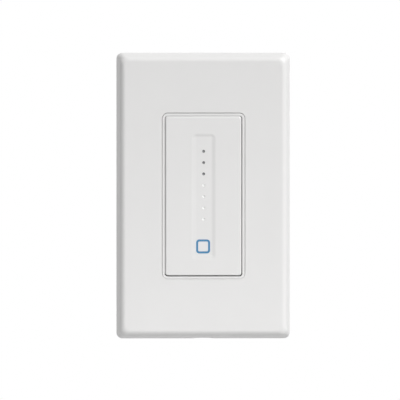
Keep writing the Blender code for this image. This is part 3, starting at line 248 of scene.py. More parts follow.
# Floor, light and camera
FLOOR_Z = -150 * MM
FLOOR_GREY = (0.32, 0.32, 0.32)
FLOOR_GLOW = 0.68
AIR_LIGHT = 0.425
KEY_TOWARD = Vector((0.60, -0.50, 0.66))
CAMERA_MIDDLE = Vector((-1.25 * MM, 0.0, -1.77 * MM))
CAMERA_SIDE = math.radians(-1.6)
CAMERA_RISE = math.radians(1.1)
VIEW_WIDTH = 161.1 * MM
LENS = 600.0


# Modelling

def only(piece):
    """Makes one piece the only selected one, and the active one."""
    bpy.ops.object.select_all(action="DESELECT")
    piece.select_set(True)
    bpy.context.view_layer.objects.active = piece


@contextmanager
def shaping(piece):
    """Edit mode on one piece, with everything on it selected."""
    only(piece)
    bpy.ops.object.mode_set(mode="EDIT")
    pick_all()
    yield
    bpy.ops.object.mode_set(mode="OBJECT")


def start(name, primitive, **settings):
    """A primitive under the piece's own name, with its turn already in its mesh."""
    bpy.ops.object.select_all(action="DESELECT")
    getattr(bpy.ops.mesh, f"primitive_{primitive}_add")(**settings)
    piece = bpy.context.object
    piece.name = piece.data.name = name
    bpy.ops.object.transform_apply(location=True, rotation=True, scale=True)
    return piece


def pick_all():
    bpy.ops.mesh.select_all(action="SELECT")


def pick_facing(piece, *way):
    """In edit mode, selects only the faces that face one way."""
    bpy.ops.mesh.select_mode(type="FACE")
    bpy.ops.mesh.select_all(action="DESELECT")
    mesh = bmesh.from_edit_mesh(piece.data)
    mesh.normal_update()
    for face in mesh.faces:
        if face.normal.dot(Vector(way)) > FACING:
            face.select_set(True)
    bmesh.update_edit_mesh(piece.data)


def pick_edge(piece, *place):
    """In edit mode, selects only the edge whose middle is nearest to a place."""
    bpy.ops.mesh.select_mode(type="EDGE")
    bpy.ops.mesh.select_all(action="DESELECT")
    mesh = bmesh.from_edit_mesh(piece.data)
    twice = 2 * Vector(place)
    nearest = min(mesh.edges, key=lambda edge: (edge.verts[0].co + edge.verts[1].co - twice).length)
    nearest.select_set(True)
    bmesh.update_edit_mesh(piece.data)


def face_outward():
    """In edit mode, turns every normal outward."""
    pick_all()
    bpy.ops.mesh.normals_make_consistent(inside=False)


def extrude(*step):
    bpy.ops.mesh.extrude_region_move(TRANSFORM_OT_translate={"value": step})


def resize(share, middle):
    bpy.ops.transform.resize(value=share, center_override=middle)


def grow(step, middle, share, drop=0.0):
    """Extrudes the picked face along the wall's depth and resizes its new edge round a middle."""
    extrude(0.0, step, -drop)
    resize((share[0], 1.0, share[1]), middle)


def inward(size, by):
    """Width and height of a rectangle with each side moved in."""
    return (size[0] - 2 * by, size[1] - 2 * by)


def rounded_block(name, size, corner, levels, x=0.0, z=0.0, steps=CORNER_STEPS, slide=0.0):
    """Upright rounded rectangle, carried through (depth, inset) levels into a closed block.

    The slide moves each inset down by a share of itself, so that the upper edge draws in further.
    """
    depth, inset = levels[0]
    width, height = inward(size, inset)
    piece = start(name, "plane", size=1.0, rotation=(math.pi / 2, 0.0, 0.0))
    with shaping(piece):
        bpy.ops.transform.resize(value=(width, 1.0, height))
        bpy.ops.transform.translate(value=(x, depth, z))
        bpy.ops.mesh.bevel(offset=corner, segments=steps, profile=0.5, affect="VERTICES")
        pick_all()
        for next_depth, next_inset in levels[1:]:
            next_width, next_height = inward(size, next_inset)
            share = (next_width / width, next_height / height)
            middle = (x, next_depth, z - slide * next_inset)
            grow(next_depth - depth, middle, share, slide * (next_inset - inset))
            depth, inset, width, height = next_depth, next_inset, next_width, next_height
        face_outward()
    return piece


def rod(name, radius, begin, end, steps=ROUND_STEPS):
    """Round bar between two points."""
    first, last = Vector(begin), Vector(end)
    turn = (last - first).to_track_quat("Z", "Y").to_euler()
    return start(
        name, "cylinder", vertices=steps, radius=radius, depth=(last - first).length,
        location=(first + last) / 2, rotation=turn,
    )


def pin(name, radius, x, z, begin, end, steps=ROUND_STEPS):
    """Round bar along the wall's depth."""
    return rod(name, radius, (x, begin, z), (x, end, z), steps)


def bar(name, size, middle):
    """Plain block round a middle."""
    piece = start(name, "cube", size=1.0, location=middle)
    with shaping(piece):
        resize(size, middle)
    return piece


def apply_modifiers(piece):
    only(piece)
    for modifier in list(piece.modifiers):
        bpy.ops.object.modifier_apply(modifier=modifier.name)


def join_solids(piece, tools, operation):
    """Boolean of one piece with its tools, one after the other. The tools are used up."""
    for tool in tools:
        step = piece.modifiers.new(tool.name, "BOOLEAN")
        step.operation = operation
        step.solver = "EXACT"
        step.object = tool
    apply_modifiers(piece)
    for tool in tools:
        bpy.data.objects.remove(tool, do_unlink=True)
    return piece


def cut(piece, *tools):
    return join_solids(piece, tools, "DIFFERENCE")


def add(piece, *tools):
    return join_solids(piece, tools, "UNION")


def soften(piece, width, steps=2):
    """Small moulded or tumbled radius on every sharp edge."""
    edge = piece.modifiers.new("edge", "BEVEL")
    edge.width = width
    edge.segments = steps
    edge.limit_method = "ANGLE"
    edge.angle_limit = SHARP_ANGLE
    edge.use_clamp_overlap = True
    apply_modifiers(piece)
    return piece


def smooth(piece):
    """Merges doubled corners, and shades all but the sharp edges smooth."""
    with shaping(piece):
        bpy.ops.mesh.remove_doubles(threshold=MERGE)
    only(piece)
    bpy.ops.object.shade_smooth_by_angle(angle=SMOOTH_ANGLE)
    piece.modifiers.new("weighted", "WEIGHTED_NORMAL").keep_sharp = True
    apply_modifiers(piece)
    return piece


def seat(piece, body, slot, finish, *nodes):
    """Finished piece: smooth, in its material, riding on a body and standing for CAD nodes."""
    smooth(piece)
    piece.data.materials.clear()
    piece.data.materials.append(finish)
    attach(piece, body)
    if nodes:
        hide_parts(*nodes)
    return piece


def moved(piece, place, turn=(0.0, 0.0, 0.0)):
    """Turns a piece that was made on the origin, puts it in its place and keeps that in its mesh."""
    piece.rotation_euler = turn
    piece.location = place
    only(piece)
    bpy.ops.object.transform_apply(location=True, rotation=True, scale=True)
    return piece


def twin(model, name, place, turn=(0.0, 0.0, 0.0)):
    """Copy of a model with a mesh of its own."""
    piece = model.copy()
    piece.data = model.data.copy()
    piece.name = piece.data.name = name
    bpy.context.scene.collection.objects.link(piece)
    return moved(piece, place, turn)


def middle_of(node):
    low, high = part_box(node)
    return (low + high) / 2


def straight(back, front):
    """Levels of a side that doesn't lean."""
    return [(back, 0.0), (front, 0.0)]


def rolled(back, front, lean, roll, steps=ROLL_STEPS):
    """Levels of a side that leans in and then rolls over, without a crease, into the front face."""
    begin = 0.0
    for _ in range(4):
        begin = math.atan2(lean, back - front - roll * (1 - math.sin(begin)))
    levels = [(back, 0.0)]
    for step in range(steps + 1):
        angle = begin + (math.pi / 2 - begin) * step / steps
        inset = lean + roll * (math.cos(begin) - math.cos(angle))
        levels.append((front + roll * (1 - math.sin(angle)), inset))
    return levels


def flared(back, face, fillet, steps=ROLL_STEPS // 2):
    """Levels of a cutter for an opening whose edge is rounded where it meets the face."""
    levels = [(back, 0.0), (face + fillet, 0.0)]
    for step in range(1, steps + 1):
        angle = math.pi / 2 * step / steps
        levels.append((face + fillet * (1 - math.sin(angle)), -fillet * (1 - math.cos(angle))))
    return levels + [(face - PAST, -fillet)]


def soft_recess(name, size, corner, face, floor, slope, z, lift=0.0, steps=2 * ROLL_STEPS):
    """Cutter for a recess whose sides fall gently to its floor, which is lifted off the middle."""
    block = rounded_block(name, size, corner, straight(face, face - PAST), z=z, steps=2 * CORNER_STEPS)
    with shaping(block):
        pick_facing(block, 0, 1, 0)
        depth = 0.0
        for step in range(1, steps + 1):
            share = step / steps
            fall = (floor - face) * (1 - math.cos(math.pi * share)) / 2
            bpy.ops.mesh.inset(thickness=slope / steps, depth=fall - depth)
            bpy.ops.transform.translate(value=(0.0, 0.0, lift / steps))
            depth = fall
    return block


# Finishes

class Reading:
    """A number that varies over a surface, so that it can take part in plain sums."""

    def __init__(self, finish, socket):
        self.finish = finish
        self.socket = socket

    def sum_of(self, operation, first, second=0.0):
        return self.finish.node("ShaderNodeMath", {"operation": operation}, {0: first, 1: second})

    def __add__(self, other):
        return self.sum_of("ADD", self, other)

    def __sub__(self, other):
        return self.sum_of("SUBTRACT", self, other)

    def __rsub__(self, other):
        return self.sum_of("SUBTRACT", other, self)

    def __mul__(self, other):
        return self.sum_of("MULTIPLY", self, other)

    def __truediv__(self, other):
        return self.sum_of("DIVIDE", self, other)

    def __pow__(self, other):
        return self.sum_of("POWER", self, other)

    __radd__ = __add__

    def size(self):
        return self.sum_of("ABSOLUTE", self)

    def at_least(self, other):
        return self.sum_of("MAXIMUM", self, other)

    def at_most(self, other):
        return self.sum_of("MINIMUM", self, other)

    def clamped(self):
        return self.at_least(0.0).at_most(1.0)


class Finish:
    """One material: its shader and the nodes that feed it."""

    def __init__(self, name, **constants):
        self.material = bpy.data.materials.new(name)
        self.material.use_nodes = True
        self.tree = self.material.node_tree
        self.shader = self.tree.nodes["Principled BSDF"]
        for socket, value in constants.items():
            self.shader.inputs[socket.replace("_", " ").title()].default_value = value
        self.place = self.node("ShaderNodeTexCoord", output="Object")

    def node(self, kind, settings=None, values=None, output=0):
        made = self.tree.nodes.new(kind)
        for key, value in (settings or {}).items():
            setattr(made, key, value)
        for key, value in (values or {}).items():
            if isinstance(value, Reading):
                self.tree.links.new(value.socket, made.inputs[key])
            else:
                made.inputs[key].default_value = value
        return Reading(self, made.outputs[output])

    def feed(self, socket, value):
        if isinstance(value, Reading):
            self.tree.links.new(value.socket, self.shader.inputs[socket])
        else:
            self.shader.inputs[socket].default_value = value

    def noise(self, size, detail=2.0, roughness=0.5, place=None):
        """Cloudy noise whose spots are about one size across."""
        values = {
            "Vector": place or self.place, "Scale": 1 / size, "Detail": detail, "Roughness": roughness,
        }
        return self.node("ShaderNodeTexNoise", None, values)

    def stretched(self, scale):
        return self.node("ShaderNodeMapping", None, {"Vector": self.place, "Scale": scale})

    def blend(self, share, first, second):
        settings = {"data_type": "RGBA", "clamp_factor": True}
        return self.node("ShaderNodeMix", settings, {0: share, 6: first, 7: second}, output=2)

    def axes(self):
        split = self.node("ShaderNodeSeparateXYZ", None, {"Vector": self.place})
        outputs = split.socket.node.outputs
        return [Reading(self, outputs[axis]) for axis in "XYZ"]

    def relief(self, height, distance):
        values = {"Height": height, "Distance": distance, "Strength": 1.0}
        self.feed("Normal", self.node("ShaderNodeBump", None, values))

    def mottled(self, share, color, low, high):
        self.feed("Base Color", self.blend(share, tint(color, low), tint(color, high)))

    def uneven(self, roughness, spread, cloud):
        self.feed("Roughness", roughness - spread / 2 + cloud * spread)


def tint(color, share):
    return (*[channel * share for channel in color], 1.0)


def moulded(name, color, roughness, grain=0.004 * MM, spread=0.015):
    """Injection-moulded plastic: a fine even skin, faint cloudiness, slightly uneven sheen."""
    made = Finish(name, roughness=roughness)
    made.mottled(made.noise(14 * MM, 3.0), color, 1 - spread, 1 + spread)
    made.uneven(roughness, 0.1, made.noise(5 * MM, 3.0))
    made.relief(made.noise(0.25 * MM, 3.0, 0.6), grain)
    return made


def panel_white():
    """The panel's plastic, with painted shade on the groove's slopes and the faint blue light that leaks
    out round the lit square.
    """
    made = moulded("panel_white", WHITE, 0.34)
    x, y, z = made.axes()
    dark = tint(DARK, 1.0)
    # Painted shade: the groove's slopes are darkened in the base colour, most at mid-slope.
    down = ((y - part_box("touch_panel")[0].y) / GROOVE_DEPTH).clamped()
    slope = down * (1.0 - down) * 4.0
    skin = Reading(made, made.shader.inputs["Base Color"].links[0].from_socket)
    made.feed("Base Color", made.blend(slope * SLOPE_PAINTED_SHADE, skin, dark))
    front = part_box("icon_light_guide")[0].y
    middle = middle_of("icon_light_guide")
    reach = ICON_SIZE / 2 - ICON_STROKE / 2 - ICON_CORNER
    across = ((x - (middle.x + ICON_SHIFT)).size() - reach).at_least(0.0)
    along = ((z - middle.z).size() - reach).at_least(0.0)
    away = ((across ** 2.0 + along ** 2.0) ** 0.5 - ICON_CORNER).size() / HALO_REACH
    glow = (1.0 - away).at_least(0.0) ** 2.0
    near_front = ((front + HALO_DEPTH - y) / MM).clamped()
    made.feed("Emission Color", made.blend(glow * near_front, dark, tint(HALO_BLUE, 1.0)))
    made.feed("Emission Strength", 1.0)
    return made.material


def guide(name, color, glow, roughness=0.25):
    """End of a clear light guide, lit from behind, its colour and glow faintly cloudy."""
    made = Finish(name, roughness=roughness)
    cloud = made.noise(0.8 * MM)
    made.mottled(cloud, color, 0.94, 1.06)
    made.feed("Emission Color", made.blend(cloud, tint(glow, 0.92), tint(glow, 1.08)))
    made.feed("Emission Strength", 1.0)
    made.relief(made.noise(0.2 * MM), 0.003 * MM)
    return made.material


def bare_metal(name, color, roughness, along=(1.0, 1.0, 1.0), scratch=0.25):
    """Metal with faint drawn lines along one axis, spots and smudges."""
    made = Finish(name, metallic=1.0, roughness=roughness)
    lines = made.noise(0.35 * MM, 4.0, 0.65, made.stretched(along))
    smudge = made.noise(9 * MM, 4.0, 0.6)
    made.mottled((lines + smudge) / 2.0, color, 0.86, 1.08)
    made.uneven(roughness, scratch, smudge)
    made.relief(lines, 0.006 * MM)
    return made.material


def textured(name, color, roughness):
    """Spark-eroded plastic of the housing: a rough, even, matt skin."""
    made = Finish(name, roughness=roughness)
    cloud = made.noise(11 * MM, 3.0)
    pits = made.noise(0.18 * MM, 4.0, 0.7)
    made.mottled(cloud * 0.6 + pits * 0.4, color, 0.9, 1.1)
    made.uneven(roughness, 0.16, pits)
    made.relief(pits, 0.03 * MM)
    return made.material


def circuit(name, mask):
    """Board under green solder mask: tracks that show through it and tinned pads on a loose grid."""
    made = Finish(name)
    x, _, z = made.axes()
    flat = made.node("ShaderNodeCombineXYZ", None, {0: x, 1: z})

    def cells(feature, size, randomness):
        settings = {"voronoi_dimensions": "2D", "feature": feature}
        values = {"Vector": flat, "Scale": 1 / size, "Randomness": randomness}
        return made.node("ShaderNodeTexVoronoi", settings, values)

    track = ((0.13 - cells("DISTANCE_TO_EDGE", 3.4 * MM, 0.75)) * 40.0).clamped()
    pad = ((0.2 - cells("F1", 2.54 * MM, 0.45)) * 30.0).clamped()
    covered = made.blend(track, tint(mask, 1.0), tint(mask, 2.1))
    made.feed("Base Color", made.blend(pad, covered, tint(TIN[0], 1.0)))
    made.feed("Roughness", 0.3 + pad * 0.08)
    made.feed("Metallic", pad)
    made.relief(track + pad, 0.03 * MM)
    return made.material


def over(value, edge):
    """Nought below the edge and one above it, with a very short step between."""
    return ((value - edge) / (0.03 * MM)).clamped()


def two_tone(name, region, first, second):
    """Finish that changes by place. A part is its colour, roughness and metallic share."""
    made = Finish(name)
    share = region(*made.axes())
    cloud = made.noise(4 * MM, 3.0)
    tones = [made.blend(cloud, tint(part[0], 0.9), tint(part[0], 1.08)) for part in (first, second)]
    made.feed("Base Color", made.blend(share, *tones))
    made.uneven(first[1] + share * (second[1] - first[1]), 0.08, cloud)
    made.feed("Metallic", first[2] + share * (second[2] - first[2]))
    made.relief(made.noise(0.2 * MM, 3.0), 0.01 * MM)
    return made.material


# Pieces seen from the room

def cover_plate(finish):
    """Snap-on shell: rolled sides, collar round the opening, four hooks and a pry notch."""
    low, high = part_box("wall_plate")
    size = (high.x - low.x, high.z - low.z)
    front = low.y
    inside = front + PLATE_WALL
    side = rolled(high.y, front, PLATE_LEAN, PLATE_ROLL)
    plate = rounded_block("cover_plate", size, PLATE_CORNER, side)
    hollow = rolled(0.0, inside, PLATE_LEAN, PLATE_ROLL - PLATE_WALL / 2)
    hollow[0] = (PAST, 0.0)
    cut(plate, rounded_block("plate_hollow", inward(size, PLATE_WALL), PLATE_WALL / 2, hollow))
    sub_low, sub_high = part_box("sub_plate")
    collar_size = inward(OPENING, -COLLAR_WALL)
    collar = straight(sub_low.y - SEAT_GAP, inside - OVERLAP)
    shapes = [rounded_block("plate_collar", collar_size, OPENING_CORNER + COLLAR_WALL, collar)]
    x = size[0] / 2 - PLATE_WALL + OVERLAP - SNAP_HOOK[0] / 2
    y = sub_high.y + SEAT_GAP + SNAP_HOOK[1] / 2
    for side, end in QUARTERS:
        shapes.append(bar("snap_hook", SNAP_HOOK, (side * x, y, end * SNAP_SPREAD / 2)))
    add(plate, *shapes)
    ends = [(0.0, high.y, z) for z in (low.z - PAST, low.z + PLATE_WALL + PAST)]
    notch = rod("pry_notch", PRY_NOTCH[0] / 2, *ends)
    with shaping(notch):
        flat = 2 * PRY_NOTCH[1] / PRY_NOTCH[0]
        resize((1.0, flat, 1.0), (0.0, high.y, low.z))
    mouth = flared(PAST, front, OPENING_FILLET)
    cut(plate, rounded_block("plate_mouth", OPENING, OPENING_CORNER, mouth), notch)
    seat(plate, "device", "plate_white", finish, "wall_plate")


def device_frame(finish):
    """Ring flush with the cover's face, its floor with a window, the hinge rail and four hooks."""
    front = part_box("bezel")[0].y
    x, z = FRAME_PLAY
    wall = rolled(FRAME_BACK, front, 0.0, FRAME_ROLL)
    ring = rounded_block("device_frame", inward(OPENING, FRAME_GAP), FRAME_CORNER, wall, x, z)
    corner = FRAME_CORNER - FRAME_RING
    well = flared(FRAME_BACK - FRAME_FLOOR, front, FRAME_ROLL / 2)
    through = straight(FRAME_BACK + PAST, FRAME_BACK - FRAME_FLOOR - PAST)
    cut(
        ring,
        rounded_block("frame_well", WELL, corner, well, x, z),
        rounded_block("frame_window", inward(WELL, FRAME_LEDGE), corner, through),
    )
    end = WELL[0] / 2 + OVERLAP
    shapes = [rod("hinge_rail", RAIL_RADIUS, (-end, RAIL_Y, RAIL_Z), (end, RAIL_Y, RAIL_Z))]
    hook_x = (WELL[0] - FRAME_LEDGE) / 2
    for side, way in QUARTERS:
        z = way * HOOK_SPREAD / 2
        shapes.append(bar("hook", HOOK, (side * hook_x, HOOK_Y, z)))
        shapes.append(bar("barb", BARB, (side * (hook_x + BARB_SHIFT), BARB_Y, z)))
    add(ring, *shapes)
    seat(ring, "device", "frame_white", finish, "bezel")


def press_panel(finish):
    """Moulded shell on two clips, with the soft groove and the seats of the dots and the icon."""
    size = inward(WELL, PANEL_GAP)
    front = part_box("touch_panel")[0].y
    inside = front + PANEL_WALL
    rim = rolled(PANEL_BACK, front, 0.0, PANEL_ROLL)
    panel = rounded_block("press_panel", size, PANEL_CORNER, rim, *PANEL_PLAY, slide=PANEL_SLIDE)
    hollow = straight(PANEL_BACK + PAST, inside)
    cut(panel, rounded_block("panel_hollow", inward(size, PANEL_SKIRT), PANEL_SKIRT / 2, hollow))
    for side in (-1, 1):
        add_clip(panel, side * CLIP_SIZE[1] / 2, inside)
    pip_z = middle_of("tact_plunger").z
    pip_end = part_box("tact_plunger")[0].y - SEAT_GAP
    add(panel, pin("press_pip", PIP_RADIUS, 0.0, pip_z, pip_end, inside - OVERLAP))
    bed = front + GROOVE_DEPTH
    cut(
        panel,
        soft_recess("groove", GROOVE, GROOVE_CORNER, front, bed, GROOVE_SLOPE, -GROOVE_DROP, GROOVE_LIFT),
    )
    seats = [
        pin("dot_seat", DOT_SEAT, 0.0, middle_of(f"light_pipe_{number}").z, PANEL_BACK, front - PAST)
        for number in range(1, 8)
    ]
    room = straight(bed + ICON_SEAT, front - PAST)
    seats.append(icon_outline("icon_seat", ICON_SIZE + ICON_PLAY, ICON_STROKE + ICON_PLAY, room))
    cut(panel, *seats)
    seat(panel, "panel", "panel_white", finish, "touch_panel")


def add_clip(panel, x, inside):
    """Clip under the panel, bored to turn on the hinge rail and open to the back."""
    near, far = x - CLIP_SIZE[0] / 2, x + CLIP_SIZE[0] / 2
    bore = RAIL_RADIUS + CLIP_RUNNING
    outer = bore + CLIP_WALL
    web = RAIL_Y - inside + OVERLAP
    add(
        panel,
        rod("rail_clip", outer, (near, RAIL_Y, RAIL_Z), (far, RAIL_Y, RAIL_Z)),
        bar("clip_web", (CLIP_SIZE[0], web, 2 * RAIL_RADIUS), (x, RAIL_Y - web / 2, RAIL_Z)),
    )
    mouth = (CLIP_SIZE[0] + 2 * PAST, 2 * outer, 4 * outer)
    cut(
        panel,
        rod("clip_bore", bore, (near - PAST, RAIL_Y, RAIL_Z), (far + PAST, RAIL_Y, RAIL_Z)),
        bar("clip_mouth", mouth, (x, RAIL_Y + RAIL_RADIUS / 2 + outer, RAIL_Z)),
    )


def icon_outline(name, size, stroke, levels):
    z = middle_of("icon_light_guide").z
    outer = rounded_block(name, (size, size), ICON_CORNER + (size - ICON_SIZE) / 2, levels, ICON_SHIFT, z)
    core = inward((size, size), stroke)
    past = straight(levels[0][0] + PAST, levels[-1][0] - PAST)
    return cut(outer, rounded_block("icon_core", core, ICON_CORE_CORNER, past, ICON_SHIFT, z))


def lit_square(finish):
    """Clear ring with four legs that reach back to its lamp."""
    low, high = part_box("icon_light_guide")
    z = (low.z + high.z) / 2
    ring = icon_outline("lit_square", ICON_SIZE, ICON_STROKE, straight(low.y + ICON_DEPTH, low.y))
    reach = (ICON_SIZE - ICON_STROKE) / 2
    legs = [
        pin("guide_leg", LEG_RADIUS, ICON_SHIFT + run, z + rise, high.y, low.y + OVERLAP, TINY_ROUND)
        for run, rise in ((reach, 0.0), (-reach, 0.0), (0.0, reach), (0.0, -reach))
    ]
    add(ring, *legs)
    soften(ring, ICON_EDGE)
    seat(ring, "panel", "icon_blue", finish, "icon_light_guide")


def light_dots(lit, unlit):
    """Clear rods whose dished ends sit a little below the groove's bed."""
    radius = DOT_SEAT - DOT_PLAY
    for number in range(1, 8):
        node = f"light_pipe_{number}"
        low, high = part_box(node)
        z = (low.z + high.z) / 2
        dot = pin(f"light_dot_{number}", radius, 0.0, z, high.y, low.y + DOT_RECESS, SMALL_ROUND)
        with shaping(dot):
            pick_facing(dot, 0, -1, 0)
            for share in DISH_RINGS:
                bpy.ops.mesh.inset(thickness=radius * DISH_RING, depth=-DOT_DISH * share)
        finish, slot = (unlit, "dot_dark") if number < 4 else (lit, "dot_lit")
        seat(dot, "panel", slot, finish, node)


# Pieces seen from the sides and from behind

def strap_blank(low, high):
    """Flat blank: narrow ears above and below the wide wings, with all corners rounded."""
    ear, wing = EAR_WIDTH / 2, (high.x - low.x) / 2
    blank = start("strap", "plane", size=1.0, rotation=(math.pi / 2, 0.0, 0.0))
    with shaping(blank):
        bpy.ops.transform.resize(value=(EAR_WIDTH, 1.0, high.z - low.z))
        bpy.ops.transform.translate(value=(0.0, high.y, 0.0))
        for way in (-1, 1):
            pick_all()
            bpy.ops.mesh.bisect(plane_co=(0.0, 0.0, way * WING_HEIGHT / 2), plane_no=(0.0, 0.0, 1.0))
        for side in (-1, 1):
            pick_edge(blank, side * ear, high.y, 0.0)
            extrude(side * (wing - ear), 0.0, 0.0)
        pick_all()
        bpy.ops.mesh.dissolve_limited(angle_limit=FLAT_ANGLE)
        pick_all()
        bpy.ops.mesh.bevel(offset=STRAP_CORNER, segments=CORNER_STEPS, profile=0.5, affect="VERTICES")
        pick_all()
        extrude(0.0, low.y - high.y, 0.0)
        face_outward()
    return blank


def countersink(low, high, x, z):
    """Cutter for a screw's hole and for the cone and the room of its flat head."""
    hole, head, cone = SINK
    piece = pin("countersink", hole, x, z, high.y + PAST, low.y + cone)
    with shaping(piece):
        pick_facing(piece, 0, -1, 0)
        grow(-cone, (x, low.y, z), (head / hole, head / hole))
        grow(-PAST, (x, low.y - PAST, z), (1.0, 1.0))
    return piece


def strap(finish):
    """Stamped strap, with everything that is punched through it."""
    low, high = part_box("yoke")
    ends = (high.y + PAST, low.y - PAST)
    middle_y = (low.y + high.y) / 2
    tools = []
    for word in ("top", "bottom"):
        mount = middle_of(f"mounting_screw_{word}").z
        tools.append(rounded_block("mount_slot", MOUNT_SLOT, MOUNT_CORNER, straight(*ends), z=mount))
        tools.append(pin("tapped_hole", TAPPED, 0.0, middle_of(f"sub_plate_screw_{word}").z, *ends))
    for side, way in QUARTERS:
        hook = (side * (WELL[0] - FRAME_LEDGE) / 2, middle_y, way * HOOK_SPREAD / 2)
        tools.append(bar("hook_slot", HOOK_SLOT, hook))
    for number in range(1, 5):
        screw = middle_of(f"housing_screw_{number}")
        tools.append(countersink(low, high, screw.x, screw.z))
    ground = middle_of("ground_screw")
    tools.append(pin("ground_hole", GROUND_HOLE, ground.x, ground.z, *ends))
    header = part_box("board_header")
    width, _, height = header[1] - header[0]
    window = (width + HEADER_ROOM, HOOK_SLOT[1], height + HEADER_ROOM)
    tools.append(bar("header_window", window, (0.0, middle_y, middle_of("board_header").z)))
    plate = cut(strap_blank(low, high), *tools)
    soften(plate, STRAP_EDGE, 3)
    seat(plate, "device", "strap_aluminium", finish, "yoke")


def snap_tray(finish):
    """Moulded tray behind the cover: rim and floor in front, ribs and pockets behind."""
    low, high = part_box("sub_plate")
    size = (high.x - low.x, high.z - low.z)
    tray = rounded_block("snap_tray", size, TRAY_CORNER, straight(high.y, low.y))
    back, front = high.y + PAST, low.y - PAST
    hollow = straight(high.y - TRAY_FLOOR, front)
    tools = [
        rounded_block("tray_hollow", inward(size, TRAY_RIM), TRAY_CORNER - TRAY_RIM, hollow),
        rounded_block("tray_window", TRAY_WINDOW, OPENING_CORNER, straight(back, front)),
    ]
    for word in ("top", "bottom"):
        for name, radius, screw in (
            ("head_hole", HEAD_HOLE, "mounting_screw"), ("screw_hole", SCREW_HOLE, "sub_plate_screw"),
        ):
            tools.append(pin(name, radius, 0.0, middle_of(f"{screw}_{word}").z, back, front))
    x = size[0] / 2 - TRAY_RIM - POCKET_WIDTH / 2
    levels = straight(back, high.y - POCKET_DEPTH)
    for side in (-1, 1):
        for middle, height in POCKETS:
            pocket = (POCKET_WIDTH, height * MM - RIB)
            place = (side * x, middle * MM)
            tools.append(rounded_block("pocket", pocket, POCKET_CORNER, levels, *place, HIDDEN_STEPS))
    cut(tray, *tools)
    soften(tray, TRAY_EDGE)
    seat(tray, "device", "inner_white", finish, "sub_plate")


def rear_box(finish):
    """Deep moulded cup: terminal bays, wire channels, screw bosses, a shallow bare recess behind."""
    low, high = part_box("rear_housing")
    width, height = high.x - low.x, high.z - low.z
    sides = rolled(-low.y, -high.y, HOUSING_LEAN, HOUSING_ROLL, HIDDEN_STEPS)
    sides = [(-depth, inset) for depth, inset in sides]
    cup = rounded_block("rear_box", (width, height), HOUSING_CORNER, sides)
    board_low, board_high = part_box("main_board")
    across, along = board_high.x - board_low.x + BOARD_PLAY, board_high.z - board_low.z + BOARD_PLAY
    mouth = low.y - PAST
    tools = []
    for name, room, depth in (
        ("board_room", (across, along), board_high.y + SEAT_GAP),
        ("deep_room", (across, along - 2 * BOARD_STEP), high.y - HOUSING_WALL),
        ("front_room", (width - 2 * HOUSING_WALL, height - 2 * BOSS_LENGTH), low.y + FRONT_ROOM),
    ):
        corner = HOUSING_CORNER - HOUSING_WALL / 2
        tools.append(rounded_block(name, room, corner, straight(depth, mouth), steps=HIDDEN_STEPS))
    recess = straight(high.y + PAST, high.y - BACK_RECESS[2])
    tools.append(rounded_block("back_recess", BACK_RECESS[:2], HOUSING_WALL, recess))
    for number in range(1, 5):
        screw = middle_of(f"housing_screw_{number}")
        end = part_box(f"housing_screw_{number}")[1].y + SEAT_GAP
        tools.append(pin("boss_hole", BOSS_HOLE, screw.x, screw.z, mouth, end, TINY_ROUND))
        tools += bay_tools(number, high)
    cut(cup, *tools)
    soften(cup, HOUSING_EDGE)
    seat(cup, "device", "housing_grey", finish, "rear_housing")


def bay_tools(number, high):
    """Cutters for one terminal: its bay, its wire channel, the clamp's slot, the screw's hole."""
    screw_low, screw_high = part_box(f"terminal_screw_{number}")
    clamp_low, clamp_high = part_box(f"terminal_clamp_{number}")
    screw = (screw_low + screw_high) / 2
    side = math.copysign(1.0, screw.x)
    face = max(abs(clamp_low.x), abs(clamp_high.x)) - CLAMP_THICK - SEAT_GAP
    reach = high.x + PAST - face
    x = side * (face + reach / 2)
    bay = bar("bay", (reach, BAY[0], BAY[1]), (x, screw.y, screw.z))
    run = high.y + PAST - screw.y
    channel = bar("wire_channel", (reach, run, CHANNEL), (x, screw.y + run / 2, screw.z))
    inner = min(abs(clamp_low.x), abs(clamp_high.x))
    tail_size = (face - inner + 2 * PAST, TAIL[1] + 2 * SEAT_GAP, TAIL[0] + 2 * SEAT_GAP)
    tail_place = (side * (face + inner) / 2, clamp_low.y + TAIL[1] / 2, screw.z)
    tip = min(abs(screw_low.x), abs(screw_high.x)) - SEAT_GAP
    ends = [(side * x, screw.y, screw.z) for x in (face + PAST, tip)]
    return [
        soften(bay, BAY_EDGE, 4),
        soften(channel, BAY_EDGE, 4),
        bar("tail_slot", tail_size, tail_place),
        rod("terminal_hole", TERMINAL_HOLE, *ends, SMALL_ROUND),
    ]


def clamp_plates(finish):
    """Square brass plates with a grooved face and a tail, one model turned to both sides."""
    low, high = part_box("terminal_clamp_1")
    width = high.y - low.y
    outer, inner = max(abs(low.x), abs(high.x)), min(abs(low.x), abs(high.x))
    middle = outer - CLAMP_THICK / 2
    plate = bar("clamp_model", (CLAMP_THICK, width, width), (middle, (low.y + high.y) / 2, 0.0))
    tail_place = ((middle + inner) / 2, low.y + TAIL[1] / 2, 0.0)
    add(plate, bar("clamp_tail", (middle - inner, TAIL[1], TAIL[0]), tail_place))
    screw_y = middle_of("terminal_screw_1").y
    ends = [(x, screw_y, 0.0) for x in (inner, outer + PAST)]
    grooves = [rod("clamp_hole", TERMINAL_HOLE, *ends, SMALL_ROUND)]
    radius, rise, spacing = GRIP
    for line in range(GRIP_LINES):
        place = (outer + rise, (line - GRIP_LINES // 2) * spacing)
        grooves.append(pin("grip_line", radius, *place, low.y - PAST, high.y + PAST, 8))
    cut(plate, *grooves)
    soften(plate, CLAMP_EDGE)
    for number in range(1, 5):
        place = middle_of(f"terminal_screw_{number}")
        turn = (0.0, 0.0 if place.x > 0 else math.pi, 0.0)
        piece = twin(plate, f"clamp_plate_{number}", (0.0, 0.0, place.z), turn)
        seat(piece, "device", "brass", finish, f"terminal_clamp_{number}")
    bpy.data.objects.remove(plate, do_unlink=True)


